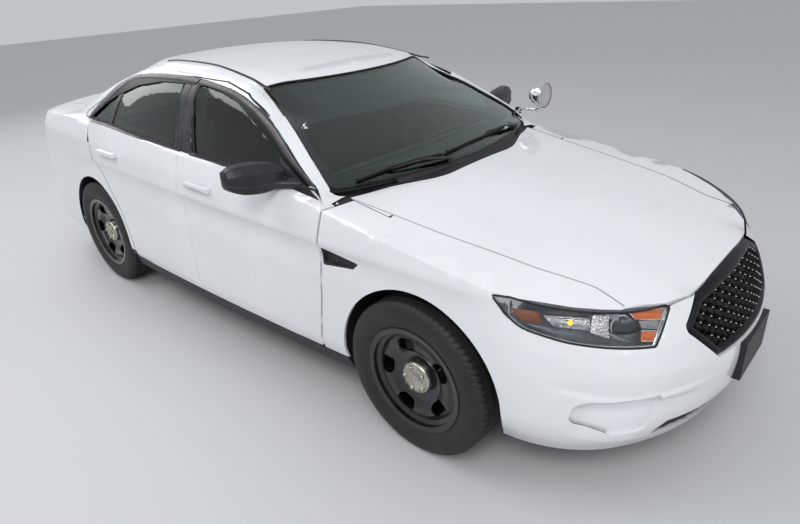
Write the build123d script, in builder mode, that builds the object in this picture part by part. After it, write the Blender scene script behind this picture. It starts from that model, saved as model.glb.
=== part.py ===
from build123d import *
import math
import os

os.makedirs("parts", exist_ok=True)

# Four-door patrol car. Millimetres, X to the car's left, Y to its tail, Z up.
# The origin is on the ground under the middle of the car.

# driving dimensions
LENGTH = 5154.0
FRONT_OVERHANG = 1054.0
WHEELBASE = 2868.0
WHEEL_TRACK = 1659.0
TYRE_RADIUS = 363.4
RIM_RADIUS = 246.0
BEAD_RADIUS = 229.0
ARCH_RADIUS = 410.0
LINER_RADIUS = 425.0
SHEET = 12.0
WALL = 30.0
DOOR_INNER_X = 840.0
FRAME_DEPTH = 35.0
PILLAR_DEPTH = 75.0
ROOF_DEPTH = 45.0
DOOR_GAP = 6.0
EDGE_LEAN = 0.3
DOOR_SKIN_X = 950.0
FRAME_SKIN_X = 760.0

NOSE_Y = -LENGTH / 2
FRONT_AXLE_Y = NOSE_Y + FRONT_OVERHANG
REAR_AXLE_Y = FRONT_AXLE_Y + WHEELBASE
MID_WHEELBASE = WHEELBASE / 2
TAIL_REACH = LENGTH - FRONT_OVERHANG
HALF_TRACK = WHEEL_TRACK / 2
FAR_X = 1250.0

# Levels of the lower body, each a rounded outline in a plane that climbs to the rear.
# height over the front axle, over the rear axle; nose middle set back, nose corner x and
# its set back behind the middle; widest half width; tail corner x, its set back, tail
# middle set in; front and rear corner radii
HULL = [
    (205, 235, 90, 790, 380, 922, 865, 300, 110, 520, 300),
    (300, 305, 44, 850, 372, 950, 895, 280, 50, 560, 320),
    (355, 350, 26, 868, 372, 962, 905, 275, 25, 580, 320),
    (435, 435, 14, 876, 370, 963, 908, 270, 8, 590, 320),
    (590, 600, 20, 884, 362, 957, 908, 270, 0, 600, 320),
    (690, 720, 56, 884, 328, 954, 906, 270, 8, 600, 320),
    (838, 890, 165, 880, 230, 950, 902, 280, 25, 600, 320),
    (868, 925, 185, 878, 220, 965, 900, 285, 30, 600, 320),
    (985, 1050, 270, 850, 220, 936, 878, 320, 60, 560, 300),
    (1090, 1160, 340, 800, 220, 896, 840, 380, 110, 520, 300),
    (1210, 1280, 420, 740, 220, 846, 790, 440, 160, 480, 300),
]
# Crown of the bonnet, belt and boot: station behind the nose, height at the middle and
# at CROWN_HALF from it.
CROWN_HALF = 1050.0
BELT = [
    (-60, 735, 690), (120, 790, 745), (330, 845, 790), (600, 910, 850), (1054, 992, 915),
    (1500, 1068, 985), (1900, 1110, 1050), (2700, 1150, 1090), (3900, 1185, 1140),
    (4500, 1172, 1125), (4950, 1150, 1100), (5220, 1135, 1085),
]
# Levels of the cabin, with the same columns as the lower body.
CABIN = [
    (1000, 1060, 1360, 850, 225, 905, 830, 60, 734, 120, 200),
    (1060, 1130, 1410, 840, 220, 888, 800, 60, 754, 120, 200),
    (1250, 1290, 1745, 758, 205, 805, 700, 60, 1034, 120, 190),
    (1400, 1410, 2030, 678, 195, 715, 610, 60, 1314, 120, 180),
    (1480, 1480, 2175, 610, 180, 640, 540, 60, 1504, 120, 170),
    (1560, 1560, 2340, 510, 170, 540, 440, 60, 1754, 110, 150),
]
ROOF = [
    (1150, 1300, 1210), (1900, 1425, 1342), (2300, 1495, 1421), (2700, 1532, 1464),
    (3100, 1542, 1465), (3500, 1520, 1446), (3900, 1460, 1386), (4300, 1380, 1306),
    (4700, 1290, 1216),
]
ROOF_HALF = 950.0


def at(station):
    """Y of a station measured back from the nose."""
    return NOSE_Y + station


def outline(row, inset):
    """One level of the body: nose, side and tail arcs with rounded corners."""
    z_front, z_rear, nose_set, nose_x, nose_back, side_x = row[:6]
    tail_x, tail_back, tail_set, front_radius, rear_radius = row[6:]
    climb = math.atan2(z_rear - z_front, WHEELBASE)
    level = Plane(
        origin=(0, FRONT_AXLE_Y, z_front),
        x_dir=(1, 0, 0),
        z_dir=(0, -math.sin(climb), math.cos(climb)),
    )
    nose = -FRONT_OVERHANG + nose_set + inset
    tail = TAIL_REACH - tail_set - inset
    with BuildSketch(level) as sketch:
        with BuildLine():
            front = (nose_x - inset, nose + nose_back)
            rear = (tail_x - inset, tail - tail_back)
            ThreePointArc((-front[0], front[1]), (0, nose), front)
            ThreePointArc(front, (side_x - inset, MID_WHEELBASE), rear)
            ThreePointArc(rear, (0, tail), (-rear[0], rear[1]))
            ThreePointArc((-rear[0], rear[1]), (inset - side_x, MID_WHEELBASE), (-front[0], front[1]))
        make_face()
        fillet([v for v in sketch.vertices() if v.Y < MID_WHEELBASE], front_radius - inset)
        rear_corners = [v for v in sketch.vertices() if v.Y > rear[1] - 1 and abs(v.X) > 1]
        fillet(rear_corners, rear_radius - inset)
    return sketch.sketch.faces()[0]


def stack(rows, inset):
    """Solid through the levels, each drawn in by the inset."""
    with BuildPart() as solid:
        loft(sections=[outline(row, inset) for row in rows], ruled=True)
    return solid.part


def crown(rows, half, drop, base=100.0):
    """Everything under a crowned surface, lowered by the drop."""
    faces = []
    for station, z_middle, z_edge in rows:
        with BuildSketch(Plane.XZ.offset(-at(station))) as section:
            with BuildLine():
                edge = z_edge - drop
                ThreePointArc((-half, edge), (0, z_middle - drop), (half, edge))
                Polyline((half, edge), (half, base), (-half, base), (-half, edge))
            make_face()
        faces.append(section.sketch.faces()[0])
    with BuildPart() as solid:
        loft(sections=faces)
    return solid.part


def lower_body(inset):
    """Body below the windows, drawn in by the inset."""
    with BuildPart() as solid:
        add(stack(HULL, inset))
        add(crown(BELT, CROWN_HALF, inset), mode=Mode.INTERSECT, clean=False)
    return solid.part


def cabin(inset, drop):
    """Cabin between belt and roof, sides drawn in by the inset and roof down by the drop."""
    with BuildPart() as solid:
        add(stack(CABIN, inset))
        add(crown(ROOF, ROOF_HALF, drop), mode=Mode.INTERSECT, clean=False)
    return solid.part


def shell(outer, inner):
    """Wall between two nested solids."""
    with BuildPart() as wall:
        add(outer)
        add(inner, mode=Mode.SUBTRACT, clean=False)
    return wall.part


def prism(plane, corners, depth, direction, grow=0.0):
    """Rounded outline, corners as (u, v, radius), grown and carried along a direction."""
    with BuildPart() as solid:
        with BuildSketch(plane):
            with BuildLine():
                points = [(u, v) for u, v, _ in corners]
                FilletPolyline(*points, radius=[r for _, _, r in corners], close=True)
            make_face()
            if grow:
                offset(amount=grow, kind=Kind.INTERSECTION)
        extrude(amount=depth, dir=direction)
    return solid.part


def side_prism(corners, near, far, skin=None, grow=0.0):
    """Side-view outline of (station, z, radius) from x near to far, leaning about x skin."""
    lean = 0.0 if skin is None else EDGE_LEAN
    start = 0.0 if skin is None else EDGE_LEAN * (near - skin)
    moved = [(at(s) + start, z, r) for s, z, r in corners]
    travel = (far - near) * math.hypot(1, lean)
    return prism(Plane.YZ.offset(near), moved, travel, (1, lean, 0), grow)


def plan_prism(corners, low, high):
    """Plan outline of (x, station, radius) from z low to high."""
    moved = [(x, at(s), r) for x, s, r in corners]
    return prism(Plane.XY.offset(low), moved, high - low, (0, 0, 1))


def front_prism(corners, first, last):
    """Front-view outline of (x, z, radius) from station first to last."""
    return prism(Plane.XZ.offset(-at(first)), corners, last - first, (0, 1, 0))


def box(x_low, x_high, first, last, z_low, z_high):
    """Block between x, station and z limits."""
    with BuildPart() as block:
        with Locations(((x_low + x_high) / 2, at((first + last) / 2), (z_low + z_high) / 2)):
            Box(x_high - x_low, last - first, z_high - z_low)
    return block.part


def axle_cylinder(radius, station, z, x_low, x_high):
    """Cylinder along X about a point of the side view."""
    with BuildPart() as disc:
        with BuildSketch(Plane.YZ.offset(x_low)):
            with Locations((at(station), z)):
                Circle(radius)
        extrude(amount=x_high - x_low)
    return disc.part


def both_sides(corners):
    """Right half of a symmetrical outline, added to the left half in reverse order."""
    return corners + [(-u, v, r) for u, v, r in reversed(corners) if u != 0]


FRONT_AXLE = FRONT_OVERHANG
REAR_AXLE = FRONT_OVERHANG + WHEELBASE

# Solids that every panel is cut from
BODY = lower_body(0)
BODY_IN_SHEET = lower_body(SHEET)
BODY_IN_WALL = lower_body(WALL)
SKIN = shell(BODY, BODY_IN_SHEET)
THICK_SKIN = shell(BODY, BODY_IN_WALL)
GRILLE_LAYER = shell(BODY_IN_SHEET, BODY_IN_WALL)
CABIN_SOLID = cabin(0, 0)
CABIN_INNER = cabin(PILLAR_DEPTH, ROOF_DEPTH)
CABIN_GROWN = stack(CABIN, -4)
CABIN_FOOT = (900, 960) + CABIN[0][2:]
CABIN_CLEARANCE = stack([CABIN_FOOT] + CABIN, -12)
FRAME_INNER = stack(CABIN, FRAME_DEPTH)
POCKET_INNER = stack(CABIN, FRAME_DEPTH + 6)
GLASS_LAYER = shell(stack(CABIN, 8), stack(CABIN, 13))

# Door outlines as (station, z, radius): below the belt on the door skin, and the
# window frame above it.
SPLIT_LOW = [(2640, 308, 0), (2656, 524, 0), (2682, 822, 0), (2716, 1130, 0)]
FRONT_DOOR = [(1631, 308, 25), (1590, 600, 0), (1572, 866, 0), (1572, 1160, 0)]
REAR_DOOR_BACK = [
    (3874, 1160, 0), (3860, 1090, 60), (3790, 930, 200), (3640, 745, 60), (3530, 610, 150),
    (3462, 430, 60), (3446, 308, 15),
]
FRAME_SPLIT = [(2648, 1030, 0), (2658, 1112, 0), (2797, 1474, 0)]
FRONT_FRAME = [
    (2540, 1464, 0), (2330, 1416, 200), (2110, 1318, 400), (1664, 1094, 60), (1546, 1074, 20),
    (1546, 1030, 0),
]
REAR_FRAME = [
    (3080, 1468, 0), (3380, 1427, 400), (3680, 1342, 400), (3930, 1236, 200), (4050, 1172, 8),
    (3990, 1142, 20), (3800, 1128, 0), (3800, 1030, 0),
]
FRONT_WINDOW = [
    (1700, 1080, 8), (2571, 1115, 18), (2722, 1441, 14), (2545, 1431, 300), (2345, 1384, 200),
    (2125, 1287, 300),
]
REAR_WINDOW = [
    (2730, 1122, 18), (3986, 1162, 8), (3890, 1208, 200), (3650, 1311, 400), (3370, 1393, 400),
    (3080, 1434, 400), (2852, 1441, 14),
]
QUARTER_BAR = [(3560, 1060, 0), (3596, 1060, 0), (3640, 1500, 0), (3604, 1500, 0)]


def grow_split(split, amount):
    """Door split moved fore or aft."""
    return [(s + amount, z, r) for s, z, r in split]


HALF_GAP = DOOR_GAP / 2
LOWER_DOORS = {
    "front": grow_split(SPLIT_LOW, -HALF_GAP) + [(2716, 1160, 0)] + FRONT_DOOR[::-1],
    "rear": grow_split(SPLIT_LOW, HALF_GAP) + [(2726, 1160, 0)] + REAR_DOOR_BACK,
}
DOOR_FRAMES = {
    "front": grow_split(FRAME_SPLIT, -HALF_GAP) + FRONT_FRAME,
    "rear": grow_split(FRAME_SPLIT, HALF_GAP) + REAR_FRAME,
}
WINDOWS = {"front": FRONT_WINDOW, "rear": REAR_WINDOW}
# handle front end and height
HANDLES = {"front": (2363, 968), "rear": (3411, 1000)}
HANDLE_LENGTH = 232.0


def window_cut(place):
    """Window opening of a door, with the bar that divides the rear one left in."""
    with BuildPart() as opening:
        add(side_prism(WINDOWS[place], 500, 1000, FRAME_SKIN_X))
        if place == "rear":
            add(side_prism(QUARTER_BAR, 500, 1000, FRAME_SKIN_X), mode=Mode.SUBTRACT)
    return opening.part


def twin(part):
    """The part seen in a mirror on the middle of the car."""
    with BuildPart() as other:
        add(part)
        mirror(about=Plane.YZ, mode=Mode.REPLACE)
    return other.part


def mirrored(part):
    """The part and its twin on the other side."""
    with BuildPart() as pair:
        add(part, clean=False)
        add(twin(part), clean=False)
    return pair.part


WINDSHIELD_WALL = front_prism(
    both_sides([(842, 1000, 0), (842, 1062, 0), (640, 1450, 0)]), 1200, 2330
)

# doors with their window frames, handles and glass
for place in ("front", "rear"):
    with BuildPart() as frame:
        add(CABIN_SOLID)
        add(side_prism(DOOR_FRAMES[place], 500, 1000, FRAME_SKIN_X), mode=Mode.INTERSECT)
        add(FRAME_INNER, mode=Mode.SUBTRACT)
        add(WINDSHIELD_WALL, mode=Mode.SUBTRACT)
    opening = window_cut(place)
    start, height = HANDLES[place]
    with BuildPart() as door:
        add(BODY)
        add(side_prism(LOWER_DOORS[place], DOOR_INNER_X, 1050, DOOR_SKIN_X), mode=Mode.INTERSECT)
        add(frame.part)
        add(opening, mode=Mode.SUBTRACT)
        with Locations((962, at(start + HANDLE_LENGTH / 2), height)):
            Box(22, HANDLE_LENGTH, 24)
        with Locations(
            (938, at(start + 20), height), (938, at(start + HANDLE_LENGTH - 20), height)
        ):
            Box(36, 34, 20)
    with BuildPart() as glass:
        add(GLASS_LAYER)
        add(opening, mode=Mode.INTERSECT)
    for side in ("left", "right"):
        panel = door.part if side == "left" else twin(door.part)
        panel.label = f"{place}_door_{side}"
        export_step(panel, f"parts/{place}_door_{side}.step")
        pane = glass.part if side == "left" else twin(glass.part)
        pane.label = f"{place}_door_glass_{side}"
        export_step(pane, f"parts/{place}_door_glass_{side}.step")

# outlines of the fixed panels
ARCHES = mirrored(axle_cylinder(ARCH_RADIUS, FRONT_AXLE, TYRE_RADIUS, 600, FAR_X))
REAR_ARCHES = mirrored(axle_cylinder(ARCH_RADIUS, REAR_AXLE, TYRE_RADIUS, 600, FAR_X))
WINDSHIELD_OPENING = front_prism(both_sides([(805, 1062, 30), (604, 1448, 45)]), 1200, 2500)
REAR_GLASS_OPENING = front_prism(both_sides([(690, 1168, 40), (565, 1432, 50)]), 3450, 4700)
ROOF_OUTLINE = plan_prism(both_sides([(560, 2290, 60), (556, 3700, 60)]), 1300, 1700)
HOOD_OUTLINE = plan_prism(both_sides([
    (300, 1352, 400), (748, 1548, 10), (700, 1050, 900), (650, 650, 300), (588, 440, 120),
    (609, 320, 8), (478, 227, 60), (345, 188, 60), (150, 172, 0),
]), 750, 1300)
HOOD_OPENING = plan_prism(both_sides([
    (302, 1360, 400), (755, 1560, 10), (707, 1050, 900), (657, 648, 300), (596, 440, 120),
    (619, 313, 8), (481, 217, 60), (347, 179, 60), (150, 163, 0),
]), 742, 1300)
TRUNK_OUTLINE = plan_prism(both_sides([(606, 4462, 70), (606, 5300, 0)]), 772, 1300)
TRUNK_OPENING = plan_prism(both_sides([(612, 4455, 74), (612, 5300, 0)]), 766, 1300)
# headlamp outline: lower edge in side view, upper edge in plan, inner edge in front view
LAMP_LOW = [
    (-60, 676, 0), (204, 694, 0), (436, 735, 300), (580, 770, 150), (640, 812, 40), (690, 872, 0),
    (705, 960, 0), (-60, 960, 0),
]
LAMP_TOP = [
    (300, 420, 0), (560, 420, 0), (592, 302, 0), (640, 323, 0), (690, 369, 150), (758, 449, 300),
    (867, 627, 200), (889, 700, 0), (893, 1200, 0), (300, 1200, 0),
]
LAMP_INNER = [(300, 620, 0), (683, 620, 0), (460, 809, 0), (430, 900, 0), (300, 900, 0)]
with BuildPart() as lamp_region:
    add(side_prism(LAMP_LOW, 400, FAR_X))
    add(plan_prism(LAMP_TOP, 500, 1100), mode=Mode.SUBTRACT)
    add(front_prism(LAMP_INNER, -60, 500), mode=Mode.SUBTRACT)
HEADLAMP_REGION = mirrored(lamp_region.part)
TAIL_LAMP_REGION = mirrored(side_prism([
    (4900, 772, 0), (5220, 772, 0), (5220, 945, 0), (5010, 945, 30),
], 616, FAR_X))
REAR_BUMPER_REGION = side_prism([
    (4300, 120, 0), (5220, 120, 0), (5220, 762, 0), (4980, 762, 40), (4420, 700, 120),
    (4300, 640, 0),
], -FAR_X, FAR_X)

FRONT_BUMPER_REGION = side_prism([
    (-60, 120, 0), (690, 120, 0), (694, 560, 0), (790, 626, 0), (606, 765, 0), (556, 784, 0),
    (292, 784, 0), (292, 900, 0), (-60, 900, 0),
], -FAR_X, FAR_X)

with BuildPart() as hood:
    add(THICK_SKIN)
    add(HOOD_OUTLINE, mode=Mode.INTERSECT)
    add(CABIN_CLEARANCE, mode=Mode.SUBTRACT)
    add(box(-900, 900, 178, 1600, 760, 1300), mode=Mode.INTERSECT)
hood.part.label = "hood"
export_step(hood.part, "parts/hood.step")

# vents behind the front wheels, framed and closed by a recessed wall
VENT_EDGE = [(1332, 826, 6), (1553, 854, 6), (1553, 768, 10), (1368, 792, 12)]
VENT_HOLLOW = [(1352, 822, 4), (1543, 846, 4), (1543, 777, 6), (1376, 798, 8)]
VENT_REGION = side_prism(VENT_EDGE, 860, FAR_X)
with BuildPart() as fender:
    add(SKIN)
    add(side_prism([
        (800, 560, 0), (800, 626, 0), (613, 769, 0), (558, 790, 0), (298, 790, 0),
        (298, 1000, 0), (1000, 1200, 0), (1560, 1200, 0), (1560, 866, 0), (1578, 600, 0), (1620, 308, 0),
        (1420, 308, 0), (1300, 560, 0),
    ], 300, FAR_X, DOOR_SKIN_X), mode=Mode.INTERSECT)
    add(HEADLAMP_REGION, mode=Mode.SUBTRACT)
    add(HOOD_OPENING, mode=Mode.SUBTRACT)
    add(CABIN_GROWN, mode=Mode.SUBTRACT)
    add(box(-756, 756, 1290, 1700, 900, 1200), mode=Mode.SUBTRACT)
    add(FRONT_BUMPER_REGION, mode=Mode.SUBTRACT)
    add(ARCHES, mode=Mode.SUBTRACT)
    add(VENT_REGION, mode=Mode.SUBTRACT)
with BuildPart() as fenders:
    add(mirrored(fender.part))
fenders.part.label = "fenders"
export_step(fenders.part, "parts/fenders.step")

with BuildPart() as vent_frame:
    add(SKIN)
    add(VENT_REGION, mode=Mode.INTERSECT)
    add(side_prism(VENT_HOLLOW, 800, FAR_X), mode=Mode.SUBTRACT)
with BuildPart() as vent:
    add(GRILLE_LAYER)
    add(VENT_REGION, mode=Mode.INTERSECT)
    add(vent_frame.part)
with BuildPart() as fender_vents:
    add(mirrored(vent.part))
fender_vents.part.label = "fender_vents"
export_step(fender_vents.part, "parts/fender_vents.step")

# front bumper cover around the grille
GRILLE_EDGE = both_sides([(300, 812, 0), (466, 714, 25), (322, 560, 40)])
LOWER_SLOT = both_sides([(500, 330, 20), (560, 262, 20)])
# blank recesses low in the bumper's corners, each closed by a wall behind its opening
FOG_RECESS = [(575, 500, 25), (815, 508, 40), (822, 410, 40), (700, 326, 60), (585, 312, 30)]
FOG_BACKING = [(560, 515, 25), (832, 523, 40), (840, 402, 40), (704, 310, 60), (570, 298, 30)]
# screw holes of the number plate bracket
PLATE_HOLE_WIDE = 177.8
PLATE_HOLE_HIGH = 120.65
PLATE_HOLE_RADIUS = 3.5
PLATE_Z = 470.0
with BuildPart() as plate_holes:
    with BuildSketch(Plane.XZ.offset(-at(0))):
        with Locations((0, PLATE_Z)):
            with GridLocations(PLATE_HOLE_WIDE, PLATE_HOLE_HIGH, 2, 2):
                Circle(PLATE_HOLE_RADIUS)
    extrude(amount=-110)
with BuildPart() as fog_backing:
    add(GRILLE_LAYER)
    add(mirrored(front_prism(FOG_BACKING, -60, 500)), mode=Mode.INTERSECT)
with BuildPart() as front_bumper:
    add(SKIN)
    add(FRONT_BUMPER_REGION, mode=Mode.INTERSECT)
    add(HEADLAMP_REGION, mode=Mode.SUBTRACT)
    add(HOOD_OPENING, mode=Mode.SUBTRACT)
    add(ARCHES, mode=Mode.SUBTRACT)
    add(front_prism(GRILLE_EDGE, -60, 420), mode=Mode.SUBTRACT)
    add(front_prism(LOWER_SLOT, -60, 420), mode=Mode.SUBTRACT)
    add(mirrored(front_prism(FOG_RECESS, -60, 500)), mode=Mode.SUBTRACT)
    add(fog_backing.part)
    add(plate_holes.part, mode=Mode.SUBTRACT)
front_bumper.part.label = "front_bumper"
export_step(front_bumper.part, "parts/front_bumper.step")

with BuildPart() as grille_backing:
    add(front_prism(both_sides([(312, 828, 0), (486, 712, 40), (330, 546, 40)]), -60, 420))
    add(front_prism(both_sides([(510, 340, 20), (570, 252, 20)]), -60, 420))
# honeycomb openings of the upper grille, inside its frame band
MESH_EDGE = both_sides([(285, 768, 20), (408, 702, 25), (303, 598, 30)])
CELL_RADIUS = 18.5
CELL_PITCH = 20.0
MESH_COLUMNS = 25
MESH_ROWS = 5
with BuildPart() as mesh_field:
    add(front_prism(MESH_EDGE, -60, 420))
with BuildPart() as mesh_openings:
    with BuildSketch(Plane.XZ.offset(-at(-60))):
        with Locations((0, 679)):
            with HexLocations(CELL_PITCH, MESH_COLUMNS, MESH_ROWS):
                RegularPolygon(CELL_RADIUS, 6)
    extrude(amount=-480)
    add(mesh_field.part, mode=Mode.INTERSECT)
with BuildPart() as grille:
    add(GRILLE_LAYER)
    add(grille_backing.part, mode=Mode.INTERSECT)
    add(HOOD_OPENING, mode=Mode.SUBTRACT)
    add(mesh_openings.part, mode=Mode.SUBTRACT)
grille.part.label = "grille"
export_step(grille.part, "parts/grille.step")

with BuildPart() as headlamps:
    add(THICK_SKIN)
    add(HEADLAMP_REGION, mode=Mode.INTERSECT)
    add(HOOD_OPENING, mode=Mode.SUBTRACT)
headlamps.part.label = "headlamps"
export_step(headlamps.part, "parts/headlamps.step")

with BuildPart() as rear_bumper:
    add(SKIN)
    add(REAR_BUMPER_REGION, mode=Mode.INTERSECT)
    add(REAR_ARCHES, mode=Mode.SUBTRACT)
    add(mirrored(box(160, 250, 4900, 5200, 200, 318)), mode=Mode.SUBTRACT)
rear_bumper.part.label = "rear_bumper"
export_step(rear_bumper.part, "parts/rear_bumper.step")

with BuildPart() as tail_lamps:
    add(THICK_SKIN)
    add(TAIL_LAMP_REGION, mode=Mode.INTERSECT)
tail_lamps.part.label = "tail_lamps"
export_step(tail_lamps.part, "parts/tail_lamps.step")

with BuildPart() as trunk_lid:
    add(THICK_SKIN)
    add(TRUNK_OUTLINE, mode=Mode.INTERSECT)
trunk_lid.part.label = "trunk_lid"
export_step(trunk_lid.part, "parts/trunk_lid.step")

# body shell: pillars, roof frame, rear quarters, sills and door pillars
POCKETS = []
for place in ("front", "rear"):
    lower_cut = [(s, z, 0) for s, z, _ in LOWER_DOORS[place]]
    frame_cut = [(s, z, 0) for s, z, _ in DOOR_FRAMES[place]]
    POCKETS.append(side_prism(lower_cut, DOOR_INNER_X - 14, FAR_X, DOOR_SKIN_X, DOOR_GAP))
    POCKETS.append(shell(
        side_prism(frame_cut, 500, FAR_X, FRAME_SKIN_X, DOOR_GAP), POCKET_INNER
    ))
    POCKETS.append(side_prism(WINDOWS[place], 500, FAR_X, FRAME_SKIN_X))
LEFT_HALF = box(0, FAR_X, -100, LENGTH + 100, 0, 1800)

with BuildPart() as quarter_region:
    add(box(830, FAR_X, 3452, 5200, 308, 1300))
    add(box(0, 900, 3760, 5200, 500, 1300))
with BuildPart() as quarter:
    add(THICK_SKIN)
    add(quarter_region.part, mode=Mode.INTERSECT)
    add(REAR_BUMPER_REGION, mode=Mode.SUBTRACT)
    add(TAIL_LAMP_REGION, mode=Mode.SUBTRACT)
    add(TRUNK_OPENING, mode=Mode.SUBTRACT)
    add(REAR_ARCHES, mode=Mode.SUBTRACT)

with BuildPart() as side_frame:
    add(box(690, 808, 1490, 3484, 240, 330))
    add(box(690, 826, 1490, 1556, 240, 990))
    add(box(745, 826, 1490, 1650, 900, 990))
    add(box(745, 826, 1566, 1650, 900, 1045))
    add(front_prism([
        (745, 300, 0), (806, 300, 0), (806, 640, 0), (826, 760, 0), (826, 1116, 0),
        (842, 1122, 0), (760, 1250, 0),
        (700, 1250, 0), (745, 1100, 0),
    ], 2610, 2770))
    add(box(690, 868, 3456, 3486, 240, 420))
    add(box(860, 925, 3456, 3486, 310, 420))

with BuildPart() as left_shell:
    add(CABIN_SOLID)
    add(LEFT_HALF, mode=Mode.INTERSECT, clean=False)
    add(CABIN_INNER, mode=Mode.SUBTRACT, clean=False)
    add(quarter.part, clean=False)
    add(side_frame.part, clean=False)
    roof_cut = shell(ROOF_OUTLINE, crown(ROOF, ROOF_HALF, 27))
    add(
        POCKETS + [WINDSHIELD_OPENING, REAR_GLASS_OPENING, roof_cut],
        mode=Mode.SUBTRACT, clean=False,
    )
with BuildPart() as body_shell:
    add(mirrored(left_shell.part))
body_shell.part.label = "body_shell"
export_step(body_shell.part, "parts/body_shell.step")

with BuildPart() as roof_panel:
    add(CABIN_SOLID)
    add(ROOF_OUTLINE, mode=Mode.INTERSECT)
    add(crown(ROOF, ROOF_HALF, 25), mode=Mode.SUBTRACT)
roof_panel.part.label = "roof_panel"
export_step(roof_panel.part, "parts/roof_panel.step")

with BuildPart() as windshield:
    add(GLASS_LAYER)
    add(WINDSHIELD_OPENING, mode=Mode.INTERSECT)
windshield.part.label = "windshield"
export_step(windshield.part, "parts/windshield.step")

with BuildPart() as rear_glass:
    add(GLASS_LAYER)
    add(REAR_GLASS_OPENING, mode=Mode.INTERSECT)
rear_glass.part.label = "rear_glass"
export_step(rear_glass.part, "parts/rear_glass.step")

with BuildPart() as cowl_panel:
    add(SKIN)
    add(box(-752, 752, 1300, 1640, 900, 1200), mode=Mode.INTERSECT)
    add(HOOD_OPENING, mode=Mode.SUBTRACT)
    add(CABIN_GROWN, mode=Mode.SUBTRACT)
cowl_panel.part.label = "cowl_panel"
export_step(cowl_panel.part, "parts/cowl_panel.step")

with BuildPart() as sill_mouldings:
    add(shell(BODY, stack(HULL, 50)))
    add(mirrored(side_prism([
        (1456, 180, 0), (3500, 180, 0), (3488, 302, 0), (1470, 302, 0),
    ], 500, FAR_X)), mode=Mode.INTERSECT)
sill_mouldings.part.label = "sill_mouldings"
export_step(sill_mouldings.part, "parts/sill_mouldings.step")

# wheels: sections as (offset outboard of the wheel's middle, radius)
TYRE_OUTSIDE = [
    (100, BEAD_RADIUS), (104, RIM_RADIUS + 0.2), (113, RIM_RADIUS + 16), (122.5, RIM_RADIUS + 46),
    (117, TYRE_RADIUS - 28.4), (104, TYRE_RADIUS - 6.4), (86, TYRE_RADIUS),
]
TYRE_INSIDE = [
    (86, BEAD_RADIUS), (98, RIM_RADIUS + 6), (108, RIM_RADIUS + 46), (102, TYRE_RADIUS - 33.4),
    (82, TYRE_RADIUS - 14.4),
]
TYRE_SECTION = (
    [(-u, r) for u, r in TYRE_OUTSIDE] + TYRE_OUTSIDE[::-1]
    + TYRE_INSIDE + [(-u, r) for u, r in TYRE_INSIDE[::-1]]
)
SPINDLE_RADIUS = 30.0
HUB_BORE = SPINDLE_RADIUS + 1.5
RIM_SECTION = [
    (-110, RIM_RADIUS), (-104, RIM_RADIUS), (-100, BEAD_RADIUS), (-84, BEAD_RADIUS), (-70, 212),
    (60, 212), (84, BEAD_RADIUS), (100, BEAD_RADIUS), (104, RIM_RADIUS), (110, RIM_RADIUS),
    (106, 222), (88, 220),
    (76, 204), (87, 178), (85, 148), (64, 118), (56, 80), (72, 72), (78, 40), (78, 0),
    (50, 0), (50, HUB_BORE), (-20, HUB_BORE), (-20, 60), (44, 60), (44, 100), (56, 122), (76, 150),
    (78, 176), (66, 204), (-70, 204), (-88, 221), (-106, 221),
]
WHEEL_WINDOWS = 5
WINDOW_RADIUS = 158.0
WINDOW_START = 4.0
KINGPIN_X = 740.0
KINGPIN_RADIUS = 13.0


def wheel_plane(x, station):
    """Plane of a wheel's section, its origin at the wheel's middle."""
    return Plane(origin=(x, at(station), TYRE_RADIUS), x_dir=(1, 0, 0), z_dir=(0, -1, 0))


def turned(section, x, station, flip):
    """Section revolved about the axle, outboard to +X or, flipped, to -X."""
    points = [(-u if flip else u, r) for u, r in section]
    with BuildPart() as body:
        with BuildSketch(wheel_plane(x, station)):
            with BuildLine():
                Polyline(*points, close=True)
            make_face()
        revolve(axis=Axis((0, at(station), TYRE_RADIUS), (1, 0, 0)))
    return body.part


for end, station in (("front", FRONT_AXLE), ("rear", REAR_AXLE)):
    for side, sign in (("left", 1), ("right", -1)):
        x = sign * HALF_TRACK
        with BuildPart() as tyre:
            add(turned(TYRE_SECTION, x, station, sign < 0))
        tyre.part.label = f"{end}_tyre_{side}"
        export_step(tyre.part, f"parts/{end}_tyre_{side}.step")
        with BuildPart() as wheel:
            add(turned(RIM_SECTION, x, station, sign < 0))
            with BuildSketch(Plane.YZ.offset(sign * (HALF_TRACK + 120))):
                with Locations((at(station), TYRE_RADIUS)):
                    with PolarLocations(WINDOW_RADIUS, WHEEL_WINDOWS, start_angle=WINDOW_START):
                        RectangleRounded(60, 92, 27)
            extrude(amount=-sign * 80, mode=Mode.SUBTRACT)
        wheel.part.label = f"{end}_wheel_{side}"
        export_step(wheel.part, f"parts/{end}_wheel_{side}.step")

# front knuckles with their spindles, between the control arms
for side, sign in (("left", 1), ("right", -1)):
    with BuildPart() as knuckle:
        with Locations((sign * 722, at(FRONT_AXLE), TYRE_RADIUS)):
            Box(60, 84, 200)
        with BuildSketch(Plane.YZ.offset(sign * 745)):
            with Locations((at(FRONT_AXLE), TYRE_RADIUS)):
                Circle(SPINDLE_RADIUS)
        extrude(amount=sign * 125)
        with Locations((sign * KINGPIN_X, at(FRONT_AXLE), TYRE_RADIUS)):
            Cylinder(KINGPIN_RADIUS, 306)
    knuckle.part.label = f"knuckle_{side}"
    export_step(knuckle.part, f"parts/knuckle_{side}.step")

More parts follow.
